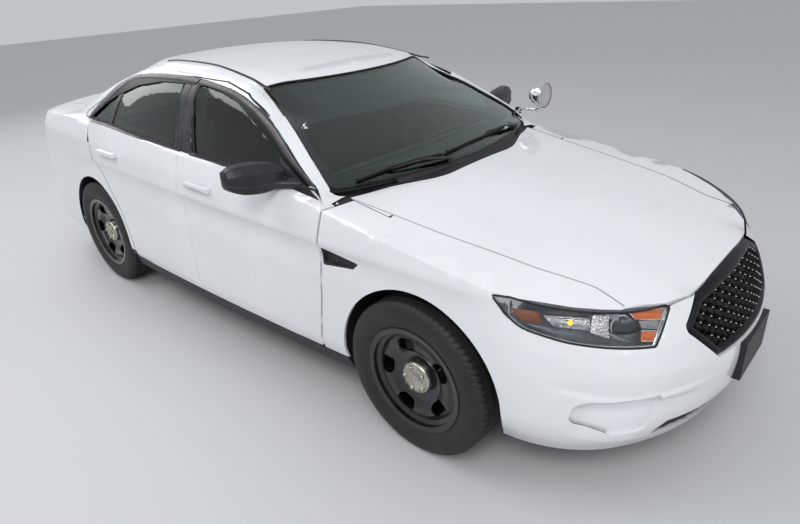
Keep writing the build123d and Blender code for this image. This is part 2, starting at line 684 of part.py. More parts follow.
with BuildPart() as front_suspension:
    add(box(-400, 400, 1180, 1330, 190, 240))
    add(mirrored(box(330, 400, 800, 1300, 190, 240)))
    for root, low, high in ((380, 205, 235), (470, 491, 515)):
        add(mirrored(plan_prism([
            (root, 1170, 0), (700, 1084, 0), (768, 1084, 24), (768, 1024, 24), (700, 1024, 0),
            (root, 940, 0),
        ], low, high)))
    with Locations(
        (KINGPIN_X, at(FRONT_AXLE), 370), (-KINGPIN_X, at(FRONT_AXLE), 370)
    ):
        Cylinder(KINGPIN_RADIUS + 0.6, 400, mode=Mode.SUBTRACT)
    with Locations((600, at(FRONT_AXLE), 507), (-600, at(FRONT_AXLE), 507)):
        Cylinder(42, 554)
front_suspension.part.label = "front_suspension"
export_step(front_suspension.part, "parts/front_suspension.step")

with BuildPart() as rear_suspension:
    add(box(-480, 480, 3872, 3972, 250, 330))
    add(mirrored(box(430, 500, 3700, 4150, 250, 330)))
    add(mirrored(box(470, 700, 3892, 3952, 230, 262)))
    add(mirrored(box(690, 750, 3876, 3968, 230, 470)))
    add(mirrored(axle_cylinder(SPINDLE_RADIUS, REAR_AXLE, TYRE_RADIUS, 745, HALF_TRACK + 40)))
    with Locations((560, at(REAR_AXLE), 335), (-560, at(REAR_AXLE), 335)):
        Cylinder(50, 170)
rear_suspension.part.label = "rear_suspension"
export_step(rear_suspension.part, "parts/rear_suspension.step")

with BuildPart() as engine_block:
    add(box(-330, 350, 570, 1120, 320, 830))
    fillet(engine_block.edges(), 30)
engine_block.part.label = "engine_block"
export_step(engine_block.part, "parts/engine_block.step")

with BuildPart() as front_frame:
    add(mirrored(box(400, 470, 150, 1478, 440, 540)))
    add(box(-470, 470, 130, 190, 430, 545))
    add(box(-470, 470, 215, 255, 540, 600))
    add(box(-400, 400, 215, 255, 300, 760))
front_frame.part.label = "front_frame"
export_step(front_frame.part, "parts/front_frame.step")

# inner wheel arches
LINER_DEPTH = 6.0


def wheel_liner(station, inner, wall):
    """Inner arch over one left wheel, closed towards the middle of the car."""
    with BuildPart() as liner:
        add(axle_cylinder(LINER_RADIUS + LINER_DEPTH, station, TYRE_RADIUS, inner, 960))
        add(
            axle_cylinder(LINER_RADIUS, station, TYRE_RADIUS, inner + LINER_DEPTH, FAR_X),
            mode=Mode.SUBTRACT,
        )
        add(box(400, 560, station - 500, station + 500, -100, 560), mode=Mode.SUBTRACT)
        add(box(400, 1000, station - 500, station + 500, -100, 310), mode=Mode.SUBTRACT)
        add(wall, mode=Mode.INTERSECT)
    return liner.part


with BuildPart() as wheel_liners:
    add(mirrored(wheel_liner(FRONT_AXLE, 500, stack(HULL[1:8], SHEET + 1))))
    add(mirrored(wheel_liner(REAR_AXLE, 545, stack(HULL[1:8], WALL + 1))))
wheel_liners.part.label = "wheel_liners"
export_step(wheel_liners.part, "parts/wheel_liners.step")

with BuildPart() as floor_pan:
    with BuildSketch(Plane.YZ.offset(-690)):
        with BuildLine():
            Polyline(
                (at(1486), 985), (at(1486), 560), (at(1640), 250), (at(3260), 250),
                (at(3340), 430), (at(4990), 430), (at(5012), 740),
            )
        trace(line_width=12)
    extrude(amount=1380)
    add(mirrored(axle_cylinder(LINER_RADIUS + 8, FRONT_AXLE, TYRE_RADIUS, 500, 960)), mode=Mode.SUBTRACT)
    add(mirrored(axle_cylinder(LINER_RADIUS + 8, REAR_AXLE, TYRE_RADIUS, 540, 960)), mode=Mode.SUBTRACT)
    add(BODY_IN_WALL, mode=Mode.INTERSECT)
floor_pan.part.label = "floor_pan"
export_step(floor_pan.part, "parts/floor_pan.step")

with BuildPart() as exhaust:
    add(box(-60, 60, 1500, 3000, 180, 232))
    add(box(-260, 260, 4420, 4760, 240, 400))
    add(mirrored(box(180, 230, 4700, 5090, 250, 300)))
exhaust.part.label = "exhaust"
export_step(exhaust.part, "parts/exhaust.step")

# cabin furniture
with BuildPart() as dashboard:
    add(side_prism([(1440, 1030, 0), (1440, 1050, 0), (1715, 1064, 0), (1715, 1030, 0)], -760, 760))
    add(stack(CABIN[:3], PILLAR_DEPTH + 5), mode=Mode.INTERSECT)
    add(side_prism([
        (1600, 700, 40), (1600, 985, 0), (1690, 1012, 0), (1700, 1060, 20), (1780, 1068, 60),
        (1880, 1030, 40), (1890, 900, 60), (1780, 760, 60), (1720, 640, 40),
    ], -690, 690))
    add(side_prism([
        (1700, 270, 10), (1700, 760, 20), (1850, 760, 60), (2000, 560, 60), (2700, 540, 30),
        (2700, 270, 10),
    ], -110, 110))
dashboard.part.label = "dashboard"
export_step(dashboard.part, "parts/dashboard.step")

WHEEL_HUB = (370.0, 2010.0, 960.0)
COLUMN_TILT = 25.0
with BuildPart() as steering_wheel:
    hub = Location((WHEEL_HUB[0], at(WHEEL_HUB[1]), WHEEL_HUB[2]), (90 - COLUMN_TILT, 0, 0))
    with Locations(hub):
        Torus(182, 15)
        Cylinder(62, 46)
        Box(350, 44, 18)
    with Locations(hub * Location((0, 0, 75))):
        Cylinder(26, 140)
    add(dashboard.part, mode=Mode.SUBTRACT)
steering_wheel.part.label = "steering_wheel"
export_step(steering_wheel.part, "parts/steering_wheel.step")


def seat(x, width, cushion, back, rest):
    """Cushion, leaning back and head rest on one support."""
    with BuildPart() as body:
        add(side_prism(cushion, x - width / 2, x + width / 2))
        add(side_prism(back, x - width / 2, x + width / 2))
        add(side_prism(rest, x - 130, x + 130))
    return body.part


FRONT_CUSHION = [(2080, 400, 40), (2080, 560, 60), (2560, 520, 60), (2600, 400, 40)]
FRONT_BACK = [(2520, 430, 40), (2660, 430, 40), (2860, 1190, 50), (2740, 1200, 50)]
FRONT_REST = [(2762, 1170, 20), (2752, 1380, 40), (2840, 1390, 40), (2850, 1170, 20)]
with BuildPart() as front_seats:
    for x in (370, -370):
        add(seat(x, 520, FRONT_CUSHION, FRONT_BACK, FRONT_REST))
        add(box(x - 220, x + 220, 2120, 2580, 262, 430))
front_seats.part.label = "front_seats"
export_step(front_seats.part, "parts/front_seats.step")

with BuildPart() as rear_bench:
    add(side_prism([
        (3020, 262, 20), (3010, 560, 60), (3420, 540, 60), (3440, 440, 0), (3320, 440, 0),
        (3250, 262, 0),
    ], -620, 620))
    add(side_prism([(3360, 460, 40), (3500, 460, 40), (3760, 1120, 50), (3630, 1130, 50)], -620, 620))
    add(mirrored(axle_cylinder(LINER_RADIUS + 12, REAR_AXLE, TYRE_RADIUS, 530, 960)), mode=Mode.SUBTRACT)
rear_bench.part.label = "rear_bench"
export_step(rear_bench.part, "parts/rear_bench.step")

# wipers lie over the glass, blades as (x, z) strips seen from the front
BLADES = [
    [(690, 1110, 4), (700, 1098, 4), (60, 1078, 4), (60, 1092, 4)],
    [(-20, 1096, 4), (-20, 1082, 4), (-620, 1090, 4), (-615, 1104, 4)],
]
with BuildPart() as blades:
    for strip in BLADES:
        add(front_prism(strip, 1200, 2300))
with BuildPart() as wipers:
    add(shell(stack(CABIN[:3], -16), stack(CABIN[:3], -5)))
    add(blades.part, mode=Mode.INTERSECT)
wipers.part.label = "wipers"
export_step(wipers.part, "parts/wipers.step")

# door mirrors on the front doors, rounded in side view and in plan
MIRROR_PLAN = plan_prism([
    (945, 1862, 30), (1075, 1836, 55), (1112, 1880, 40), (1108, 1945, 12), (942, 1935, 20),
], 1040, 1210)
for side in ("left", "right"):
    with BuildPart() as mirror_body:
        add(side_prism([
            (1845, 1060, 35), (1835, 1180, 45), (1935, 1192, 25), (1940, 1062, 25),
        ], 945, 1105))
        add(MIRROR_PLAN, mode=Mode.INTERSECT)
        add(side_prism([
            (1770, 1072, 10), (1780, 1104, 10), (1900, 1112, 10), (1900, 1080, 10),
        ], 868, 1000))
        if side == "right":
            mirror(about=Plane.YZ, mode=Mode.REPLACE)
    mirror_body.part.label = f"mirror_{side}"
    export_step(mirror_body.part, f"parts/mirror_{side}.step")

# spotlight on an arm at the foot of the left windscreen pillar
SPOT_X = 905.0
SPOT_STATION = 1556.0
SPOT_Z = 1195.0
SPOT_RADIUS = 76.0
with BuildPart() as spotlight_arm:
    add(box(840, SPOT_X, 1640, 1660, 1096, 1112))
    add(plan_prism([
        (SPOT_X - 10, 1660, 4), (SPOT_X + 12, 1660, 10), (SPOT_X + 12, 1544, 11),
        (SPOT_X - 10, 1544, 10),
    ], 1096, 1112))
    add(CABIN_SOLID, mode=Mode.SUBTRACT)
spotlight_arm.part.label = "spotlight_arm"
export_step(spotlight_arm.part, "parts/spotlight_arm.step")

with BuildPart() as spotlight:
    with BuildSketch(Plane.XZ.offset(-at(SPOT_STATION - 50))):
        with Locations((SPOT_X, SPOT_Z)):
            Circle(SPOT_RADIUS)
    extrude(amount=-100, taper=10)
    with Locations((SPOT_X, at(SPOT_STATION), 1122)):
        Cylinder(9, 18)
spotlight.part.label = "spotlight"
export_step(spotlight.part, "parts/spotlight.step")

# blank bracket for a number plate, with its four screw holes
with BuildPart() as plate_bracket:
    add(box(-165, 165, 0, 60, PLATE_Z - 85, PLATE_Z + 85))
    add(BODY, mode=Mode.SUBTRACT)
    add(plate_holes.part, mode=Mode.SUBTRACT)
plate_bracket.part.label = "plate_bracket"
export_step(plate_bracket.part, "parts/plate_bracket.step")
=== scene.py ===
"""Four-door patrol car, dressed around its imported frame. Metres, X to the car's left, Y to its
tail, Z up, the origin on the ground under the middle of the car."""

import math
from contextlib import contextmanager

import bmesh
import bpy
import numpy as np
from mathutils import Euler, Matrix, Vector


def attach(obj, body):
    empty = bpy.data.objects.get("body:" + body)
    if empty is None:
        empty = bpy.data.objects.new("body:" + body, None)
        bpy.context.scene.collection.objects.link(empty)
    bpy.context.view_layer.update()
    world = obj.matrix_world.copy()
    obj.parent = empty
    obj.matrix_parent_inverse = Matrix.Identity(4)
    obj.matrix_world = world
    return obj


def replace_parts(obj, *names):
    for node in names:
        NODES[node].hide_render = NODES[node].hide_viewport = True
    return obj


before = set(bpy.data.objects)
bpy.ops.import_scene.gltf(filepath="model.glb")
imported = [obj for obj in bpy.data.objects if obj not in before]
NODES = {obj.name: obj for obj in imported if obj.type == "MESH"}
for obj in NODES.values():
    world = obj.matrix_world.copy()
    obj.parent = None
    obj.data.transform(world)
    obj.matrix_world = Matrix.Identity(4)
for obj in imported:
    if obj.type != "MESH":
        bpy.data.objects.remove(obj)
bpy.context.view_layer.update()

SIDES = (("left", 1.0), ("right", -1.0))

# measures of the body in millimetres, as the frame was drawn; a station is a distance behind
# the front end of the car
LENGTH = 5154.0
NOSE = 2577.0  # station of the frame's origin
FRONT_AXLE = 1054.0
REAR_AXLE = 3922.0
WHEELBASE = REAR_AXLE - FRONT_AXLE
TAIL_REACH = LENGTH - FRONT_AXLE
TYRE_RADIUS = 363.4
HALF_TRACK = 829.5

# levels of the hull and of the cabin: height over the front and the rear axle, set-back of the
# nose, x and further set-back of its corner, widest half width, x and further set-back of the
# tail's corner, set-back of the tail, radii of the front and the rear corner
HULL = np.array([
    (205, 235, 90, 790, 380, 922, 865, 300, 110, 520, 300),
    (300, 305, 44, 850, 372, 950, 895, 280, 50, 560, 320),
    (355, 350, 26, 868, 372, 962, 905, 275, 25, 580, 320),
    (435, 435, 14, 876, 370, 963, 908, 270, 8, 590, 320),
    (590, 600, 20, 884, 362, 957, 908, 270, 0, 600, 320),
    (690, 720, 56, 884, 328, 954, 906, 270, 8, 600, 320),
    (838, 890, 165, 880, 230, 950, 902, 280, 25, 600, 320),
    (868, 925, 185, 878, 220, 965, 900, 285, 30, 600, 320),
    (985, 1050, 270, 850, 220, 936, 878, 320, 60, 560, 300),
    (1090, 1160, 340, 800, 220, 896, 840, 380, 110, 520, 300),
    (1210, 1280, 420, 740, 220, 846, 790, 440, 160, 480, 300),
], float)
CABIN = np.array([
    (1000, 1060, 1360, 850, 225, 905, 830, 60, 734, 120, 200),
    (1060, 1130, 1410, 840, 220, 888, 800, 60, 754, 120, 200),
    (1250, 1290, 1745, 758, 205, 805, 700, 60, 1034, 120, 190),
    (1400, 1410, 2030, 678, 195, 715, 610, 60, 1314, 120, 180),
    (1480, 1480, 2175, 610, 180, 640, 540, 60, 1504, 120, 170),
    (1560, 1560, 2340, 510, 170, 540, 440, 60, 1754, 110, 150),
], float)
# crowns of the hull and of the roof: station, height in the middle, height at the crown's half
BELT_HALF, ROOF_HALF = 1050.0, 950.0
BELT = np.array([
    (-60, 735, 690), (120, 790, 745), (330, 845, 790), (600, 910, 850), (1054, 992, 915),
    (1500, 1068, 985), (1900, 1110, 1050), (2700, 1150, 1090), (3900, 1185, 1140),
    (4500, 1172, 1125), (4950, 1150, 1100), (5220, 1135, 1085),
], float)
ROOF = np.array([
    (1150, 1300, 1210), (1900, 1425, 1342), (2300, 1495, 1421), (2700, 1532, 1464),
    (3100, 1542, 1465), (3500, 1520, 1446), (3900, 1460, 1386), (4300, 1380, 1306),
    (4700, 1290, 1216),
], float)
# openings of the side windows as (station, height)
FRONT_WINDOW = np.array([
    (1700, 1080), (2571, 1115), (2722, 1441), (2545, 1431), (2345, 1384), (2125, 1287),
], float)
REAR_WINDOW = np.array([
    (2730, 1122), (3986, 1162), (3890, 1208), (3650, 1311), (3370, 1393), (3080, 1434),
    (2852, 1441),
], float)


# ---- surfaces of the body -------------------------------------------------------------------
def levels(rows, station, height):
    """Columns of a table of levels at side-view points: each level climbs to the rear, and the
    columns are interpolated between the two levels above and below the point."""
    s, z = np.broadcast_arrays(np.asarray(station, float), np.asarray(height, float))
    climb = (s[..., None] - FRONT_AXLE) / WHEELBASE
    heights = rows[:, 0] + (rows[:, 1] - rows[:, 0]) * climb
    above = np.clip((heights <= z[..., None]).sum(-1) - 1, 0, len(rows) - 2)
    low = np.take_along_axis(heights, above[..., None], -1)[..., 0]
    high = np.take_along_axis(heights, above[..., None] + 1, -1)[..., 0]
    share = ((z - low) / (high - low))[..., None]
    return rows[above] * (1 - share) + rows[above + 1] * share


def side_x(rows, station, height):
    """Half width at side-view points: the parabola through the front corner, the widest
    place between the axles and the rear corner of the level there."""
    c = levels(rows, station, height)
    y = np.asarray(station, float) - FRONT_AXLE
    ya = -FRONT_AXLE + c[..., 2] + c[..., 4]
    yb = WHEELBASE / 2
    yc = TAIL_REACH - c[..., 8] - c[..., 7]
    xa, xb, xc = c[..., 3], c[..., 5], c[..., 6]
    return (
        xa * (y - yb) * (y - yc) / ((ya - yb) * (ya - yc))
        + xb * (y - ya) * (y - yc) / ((yb - ya) * (yb - yc))
        + xc * (y - ya) * (y - yb) / ((yc - ya) * (yc - yb))
    )


ROUNDS = 6  # a level climbs to the rear, so a station on it is found by this many rounds


def front_s(rows, x, height):
    """Station of the nose or windscreen at front-view points: a circle through the middle
    and the two corners of the level."""
    x = np.asarray(x, float)
    s = rows[0, 2] + 0 * (x + height)
    for _ in range(ROUNDS):
        c = levels(rows, s, height)
        half, back = c[..., 3], c[..., 4]
        radius = (half**2 + back**2) / (2 * back)
        s = c[..., 2] + radius - np.sqrt(np.maximum(radius**2 - x**2, 1))
    return s


def tail_s(rows, x, height):
    """Station of the tail or rear window at rear-view points, in the same way."""
    x = np.asarray(x, float)
    s = LENGTH - rows[0, 8] + 0 * (x + height)
    for _ in range(ROUNDS):
        c = levels(rows, s, height)
        half, back = c[..., 6], c[..., 7]
        radius = (half**2 + back**2) / (2 * back)
        s = LENGTH - c[..., 8] - radius + np.sqrt(np.maximum(radius**2 - x**2, 1))
    return s


def smooth(x, xs, ys):
    """Cubic through the points with slopes from their neighbours (Catmull-Rom)."""
    slopes = np.gradient(ys, xs)
    i = np.clip(np.searchsorted(xs, x) - 1, 0, len(xs) - 2)
    h = xs[i + 1] - xs[i]
    t = (x - xs[i]) / h
    return (
        (2 * t**3 - 3 * t**2 + 1) * ys[i] + (t**3 - 2 * t**2 + t) * h * slopes[i]
        + (3 * t**2 - 2 * t**3) * ys[i + 1] + (t**3 - t**2) * h * slopes[i + 1]
    )


def top_z(rows, half, x, station):
    """Height of a crowned surface: a circle across the car through its middle height and its
    height at half."""
    middle, edge = (smooth(np.asarray(station, float), rows[:, 0], rows[:, k]) for k in (1, 2))
    sag = middle - edge
    radius = (half**2 + sag**2) / (2 * sag)
    return middle - radius + np.sqrt(radius**2 - np.asarray(x, float) ** 2)


def belt_z(x, station):
    """Height of the hull's crown, within the reach of its table."""
    return top_z(BELT, BELT_HALF, np.clip(x, -1000, 1000), station)


def roof_z(x, station):
    """Height of the roof's crown, within the reach of its table."""
    return top_z(ROOF, ROOF_HALF, np.clip(x, -940, 940), np.clip(station, 1200, 4650))


def place(x, station, height):
    """Points of the frame in metres from x, station behind the nose and height in mm."""
    x, s, z = np.broadcast_arrays(*(np.asarray(v, float) for v in (x, station, height)))
    return np.stack([x, s - NOSE, z], -1) / 1000


def in_frame(points):
    """The same for an array of (x, station, height)."""
    return points / 1000 - (0, NOSE / 1000, 0)


# ---- materials ------------------------------------------------------------------------------
def linear(code):
    """sRGB hex to opaque linear colour."""
    rgb = [int(code[i:i + 2], 16) / 255 for i in (1, 3, 5)]
    return [c / 12.92 if c <= 0.04045 else ((c + 0.055) / 1.055) ** 2.4 for c in rgb] + [1.0]


def add_node(tree, kind, settings=None, **inputs):
    """One shader node with its settings, socket values and links; a socket is called by its name
    or, as _0, by its number."""
    made = tree.nodes.new(kind)
    for name, value in (settings or {}).items():
        setattr(made, name, value)
    for name, value in inputs.items():
        key = int(name[1:]) if name[0] == "_" else name.replace("_", " ")
        socket = made.inputs[key]
        if isinstance(value, bpy.types.NodeSocket):
            tree.links.new(value, socket)
        else:
            socket.default_value = value
    return made


def material(name, code, roughness=0.5, **sockets):
    """Principled material of one base colour; sockets are set by name on the shader."""
    made = bpy.data.materials.new(name)
    made.use_nodes = True
    shader = made.node_tree.nodes["Principled BSDF"]
    shader.inputs["Base Color"].default_value = linear(code)
    shader.inputs["Roughness"].default_value = roughness
    for key, value in sockets.items():
        shader.inputs[key.replace("_", " ")].default_value = value
    return made


def parts_of(made):
    """Tree, shader and Object coordinates of a material."""
    tree = made.node_tree
    coordinates = tree.nodes.get("Texture Coordinate") or tree.nodes.new("ShaderNodeTexCoord")
    return tree, tree.nodes["Principled BSDF"], coordinates.outputs["Object"]


def mottle(made, other, per_metre, low=0.4, high=0.65, stretch=(1, 1, 1)):
    """Second colour where a noise of that many cells a metre passes the low to high range."""
    tree, shader, where = parts_of(made)
    mapped = add_node(tree, "ShaderNodeMapping", Vector=where, Scale=stretch)
    noise = add_node(
        tree, "ShaderNodeTexNoise", Vector=mapped.outputs[0], Scale=per_metre, Detail=4.0,
    )
    ramp = add_node(tree, "ShaderNodeMapRange", _0=noise.outputs[0], _1=low, _2=high)
    first = list(shader.inputs["Base Color"].default_value)
    mix = add_node(
        tree, "ShaderNodeMix", {"data_type": "RGBA"}, _0=ramp.outputs[0], _6=first,
        _7=linear(other),
    )
    tree.links.new(mix.outputs[2], shader.inputs["Base Color"])
    return made


def rough(made, low, high, per_metre):
    """Roughness that wanders between two values with a noise."""
    tree, shader, where = parts_of(made)
    noise = add_node(tree, "ShaderNodeTexNoise", Vector=where, Scale=per_metre, Detail=3.0)
    ramp = add_node(
        tree, "ShaderNodeMapRange", _0=noise.outputs[0], _1=0.3, _2=0.7, _3=low, _4=high,
    )
    tree.links.new(ramp.outputs[0], shader.inputs["Roughness"])
    return made


def bumpy(made, per_metre, height, kind="noise"):
    """Fine relief: noise, or Voronoi grains, of a real height in metres."""
    tree, shader, where = parts_of(made)
    if kind == "noise":
        grain = add_node(tree, "ShaderNodeTexNoise", Vector=where, Scale=per_metre, Detail=2.0)
    else:
        grain = add_node(tree, "ShaderNodeTexVoronoi", Vector=where, Scale=per_metre)
    bump = add_node(
        tree, "ShaderNodeBump", Strength=1.0, Distance=height, Height=grain.outputs[0],
    )
    tree.links.new(bump.outputs[0], shader.inputs["Normal"])
    return made


# white two-stage enamel: bright, even, with a clear coat and faint orange peel
PAINT = material("white_enamel_paint", "#e9ebee", 0.3, Coat_Weight=1.0, Coat_Roughness=0.03)
bumpy(mottle(PAINT, "#e2e4e7", 1.6), 260, 0.00002)
# moulded ABS in gloss black: sharp reflections over black
GLOSS_BLACK = material("gloss_black_abs", "#0b0b0d", 0.12, Coat_Weight=0.6, Coat_Roughness=0.05)
rough(GLOSS_BLACK, 0.1, 0.22, 30)
# the grille: near black, its frame glossier than its mesh
FRAME_BLACK = material("grille_frame_black", "#050506", 0.34, Specular_IOR_Level=0.2)
rough(FRAME_BLACK, 0.28, 0.42, 30)
MESH_BLACK = material("grille_mesh_black", "#050506", 0.42, Specular_IOR_Level=0.14)
rough(MESH_BLACK, 0.34, 0.5, 30)
# grained polypropylene: satin black with leather grain of about 1.5 mm
GRAINED_BLACK = material("grained_black_polypropylene", "#17181a", 0.52)
bumpy(mottle(GRAINED_BLACK, "#212225", 12), 700, 0.0003, "voronoi")
# satin black mirror shells, a little faded in patches
SATIN_BLACK = material("satin_black_moulding", "#1b1c1f", 0.36)
rough(mottle(SATIN_BLACK, "#26272b", 7), 0.3, 0.48, 25)
# weathered anodised strip round the side windows: grey-brown with pale wear
WEATHERED_TRIM = material("weathered_anodised_trim", "#4a474a", 0.4, Metallic=0.55)
rough(mottle(WEATHERED_TRIM, "#5f5b5c", 14, stretch=(1, 0.15, 1)), 0.32, 0.5, 40)
# film on the middle pillar: brownish black with dull patches
PILLAR_TRIM = material("weathered_pillar_film", "#262528", 0.32)
rough(mottle(PILLAR_TRIM, "#343236", 9), 0.25, 0.42, 20)
# seals of extruded rubber: matt black that swallows the light along every gap
RUBBER = material("black_rubber_seal", "#101011", 0.62)
bumpy(mottle(RUBBER, "#191919", 20), 900, 0.0001)
# tyres: dull black, browned by road dust in patches
TYRE_RUBBER = material("tyre_rubber", "#1a1a1b", 0.6)
bumpy(mottle(TYRE_RUBBER, "#262524", 9), 500, 0.00015)
# pressed steel wheels: black enamel that still shines at the edges of the holes
STEEL_BLACK = material(
    "black_enamelled_steel", "#0c0c0d", 0.22, Coat_Weight=0.5, Coat_Roughness=0.12,
)
rough(mottle(STEEL_BLACK, "#151412", 11), 0.14, 0.34, 26)
# chrome: mirror bright with a faint wander in its sharpness
CHROME = material("chrome_plate", "#dfe1e3", 0.08, Metallic=1.0)
rough(CHROME, 0.05, 0.14, 45)
# hub caps: scuffed stainless steel, warm grey with darker specks
CAP_STEEL = material("worn_stainless_cap", "#c6c2b6", 0.26, Metallic=1.0)
bumpy(mottle(rough(CAP_STEEL, 0.2, 0.4, 60), "#a5a196", 55), 300, 0.0004)
# castings and tubes of the running gear: dull grey with rust brown in it
CAST_METAL = material("cast_iron_and_steel", "#3c3b3a", 0.62, Metallic=0.6)
bumpy(mottle(CAST_METAL, "#4b443d", 18), 260, 0.0005)
# sprayed underbody coating: rough black, brown where it is dusty
UNDERBODY = material("underbody_coating", "#101010", 0.8)
bumpy(mottle(UNDERBODY, "#1b1a18", 6), 150, 0.0008)
# felted liners: the deep black behind the wheels; behind the grille a sheet of it paints the shade
# of the bay
LINER_FELT_AND_SHADE = material("arch_liner_and_grille_shade", "#0e0e0f", 0.85)
bumpy(mottle(LINER_FELT_AND_SHADE, "#1a1918", 10), 320, 0.0005)
# dashboard skin: grey-green grained vinyl that shows through the windscreen
DASH = material("grained_dash_vinyl", "#4f5a58", 0.6)
bumpy(mottle(DASH, "#465150", 8), 800, 0.0003, "voronoi")
# door cards and pillars inside: charcoal with a fine grain
INNER_TRIM = material("charcoal_cabin_plastic", "#24282a", 0.6)
bumpy(mottle(INNER_TRIM, "#2d3133", 8), 700, 0.0003, "voronoi")
# headliner: flat woven grey, the lightest thing inside
HEADLINER = material("woven_headliner", "#6a6c6a", 0.9)
bumpy(mottle(HEADLINER, "#757774", 30), 900, 0.0002)
# seat cloth: charcoal with a fine pale fleck and a soft sheen
CLOTH = material("charcoal_woven_cloth", "#1f2224", 0.9, Sheen_Weight=0.3)
bumpy(mottle(CLOTH, "#2c3033", 240, 0.45, 0.55), 1100, 0.0005, "voronoi")
# carpet: black felt with a deep nap
CARPET = material("needle_felt_carpet", "#15171a", 0.95)
bumpy(mottle(CARPET, "#1f2123", 60), 500, 0.002)
# glass: nearly clear in front, green and darker at the sides and behind
WINDSCREEN_GLASS = material(
    "laminated_windscreen_glass", "#cfe2da", 0.0, Transmission_Weight=1.0, IOR=1.5,
)
TINTED_GLASS = material(
    "green_tinted_glass", "#5d7169", 0.0, Transmission_Weight=1.0, IOR=1.5,
)
# printed borders of the panes: black without a shine of their own
PANE_BORDER = material("glass_border", "#0b1110", 0.4, Specular_IOR_Level=0.15)
CERAMIC = material("ceramic_black_border", "#070708", 0.2)
rough(CERAMIC, 0.12, 0.3, 50)
# shade band of the windscreen: deep blue that the roof lining still shows through
SHADE_BAND = material("blue_shade_band", "#060a1c", 0.1, Alpha=0.86)
# headlamp cover: clear, with only its reflections to see
LENS = material("clear_polycarbonate", "#f2f4f6", 0.02, Transmission_Weight=1.0, IOR=1.45)
# tail lamps and reflectors: deep red with prisms inside
RED_LENS = material(
    "red_lamp_lens", "#a3101a", 0.06, Transmission_Weight=0.45, IOR=1.49, Coat_Weight=0.5,
)
bumpy(RED_LENS, 500, 0.0003, "voronoi")
# amber inserts: prismed orange with a faint glow that paints the light they catch, and a browner
# one at the lamp's side
AMBER = material(
    "amber_insert_with_painted_glow", "#f57618", 0.2, Emission_Color=linear("#ff7a1e"), Emission_Strength=0.12,
)
bumpy(AMBER, 420, 0.0006, "voronoi")
DIM_AMBER = material("amber_marker_insert", "#a8501c", 0.2)
bumpy(DIM_AMBER, 420, 0.0006, "voronoi")
# turn lamp's bulb: the one lit lamp; the amber inserts' faint glow is painted light
AMBER_LIT = material(
    "lit_amber_bulb", "#ffae2b", 0.2, Emission_Color=linear("#ff9a12"), Emission_Strength=4.0,
)
# bright parts in the headlamp: silvered ledge, grey bowl, dark chrome shroud, faceted mirrors
SILVER = material("brushed_silver_bezel", "#aeb4bb", 0.3, Metallic=0.7)
rough(SILVER, 0.22, 0.4, 30)
LAMP_GREY = material("lamp_bezel_grey", "#70757c", 0.34, Metallic=0.4)
rough(mottle(LAMP_GREY, "#5b6067", 20), 0.25, 0.45, 40)
DARK_CHROME = material("smoked_chrome", "#4a4d52", 0.12, Metallic=1.0)
REFLECTOR = material("faceted_reflector", "#d8d6d4", 0.14, Metallic=1.0)
bumpy(REFLECTOR, 160, 0.003, "voronoi")
# projector's dome: reads as dark glass with one sharp highlight
DARK_GLASS = material("projector_glass", "#3a3f45", 0.05, Metallic=0.9, Coat_Weight=1.0)
# face of the mirrors: silver that shows the world behind
MIRROR_FACE = material("silvered_mirror", "#cdd3d6", 0.03, Metallic=1.0)
# white diffusers: milky with small prisms
WHITE_LENS = material("white_lamp_lens", "#e8e8e6", 0.1, Transmission_Weight=0.5, IOR=1.49)
bumpy(WHITE_LENS, 400, 0.0006, "voronoi")


# ---- meshes ---------------------------------------------------------------------------------
def linked(name, data):
    """New object of the data, in the scene at its origin."""
    made = bpy.data.objects.new(name, data)
    bpy.context.scene.collection.objects.link(made)
    return made


def piece(name, points, faces, finish, body, angle=35.0):
    """Mesh of points and faces, shaded smooth below an angle, riding on a body."""
    mesh = bpy.data.meshes.new(name)
    mesh.from_pydata(np.asarray(points).reshape(-1, 3).tolist(), [], np.asarray(faces).tolist())
    mesh.validate()
    mesh.materials.append(finish)
    made = linked(name, mesh)
    shade(made, angle)
    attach(made, body)
    return made


def shade(made, angle):
    """Smooth faces with sharp edges above an angle."""
    mesh = made.data
    mesh.polygons.foreach_set("use_smooth", np.ones(len(mesh.polygons), bool))
    mesh.set_sharp_from_angle(angle=math.radians(angle))
    mesh.update()


def turns(count):
    """Angles of even steps once round."""
    return np.linspace(0, 2 * math.pi, count, endpoint=False)


def grid_faces(rows, columns, closed_rows=False, closed_columns=False, start=0):
    """Quads of a grid of points, row by row, optionally joined end to end."""
    i = np.arange(rows if closed_rows else rows - 1)[:, None]
    j = np.arange(columns if closed_columns else columns - 1)[None, :]
    i2, j2 = (i + 1) % rows, (j + 1) % columns
    quads = np.stack([i * columns + j, i * columns + j2, i2 * columns + j2, i2 * columns + j], -1)
    return quads.reshape(-1, 4) + start


@contextmanager
def worked(mesh):
    """The mesh opened for bmesh, and written back at the end."""
    work = bmesh.new()
    work.from_mesh(mesh)
    yield work
    work.to_mesh(mesh)
    work.free()


def outward(made):
    """Merges doubled points and turns the faces of a mesh out."""
    with worked(made.data) as work:
        bmesh.ops.remove_doubles(work, verts=work.verts, dist=1e-6)
        bmesh.ops.recalc_face_normals(work, faces=work.faces)


def solid(name, points, faces, finish, body, angle=35.0):
    """Piece with its doubled points merged and its faces turned out."""
    made = piece(name, points, faces, finish, body, angle)
    outward(made)
    shade(made, angle)
    return made


def walled(made, **settings):
    """Gives a surface a wall by Solidify, applied to its mesh."""
    change = made.modifiers.new("wall", "SOLIDIFY")
    for name, value in settings.items():
        setattr(change, name, value)
    graph = bpy.context.evaluated_depsgraph_get()
    mesh = bpy.data.meshes.new_from_object(made.evaluated_get(graph))
    made.modifiers.clear()
    old, made.data = made.data, mesh
    bpy.data.meshes.remove(old)


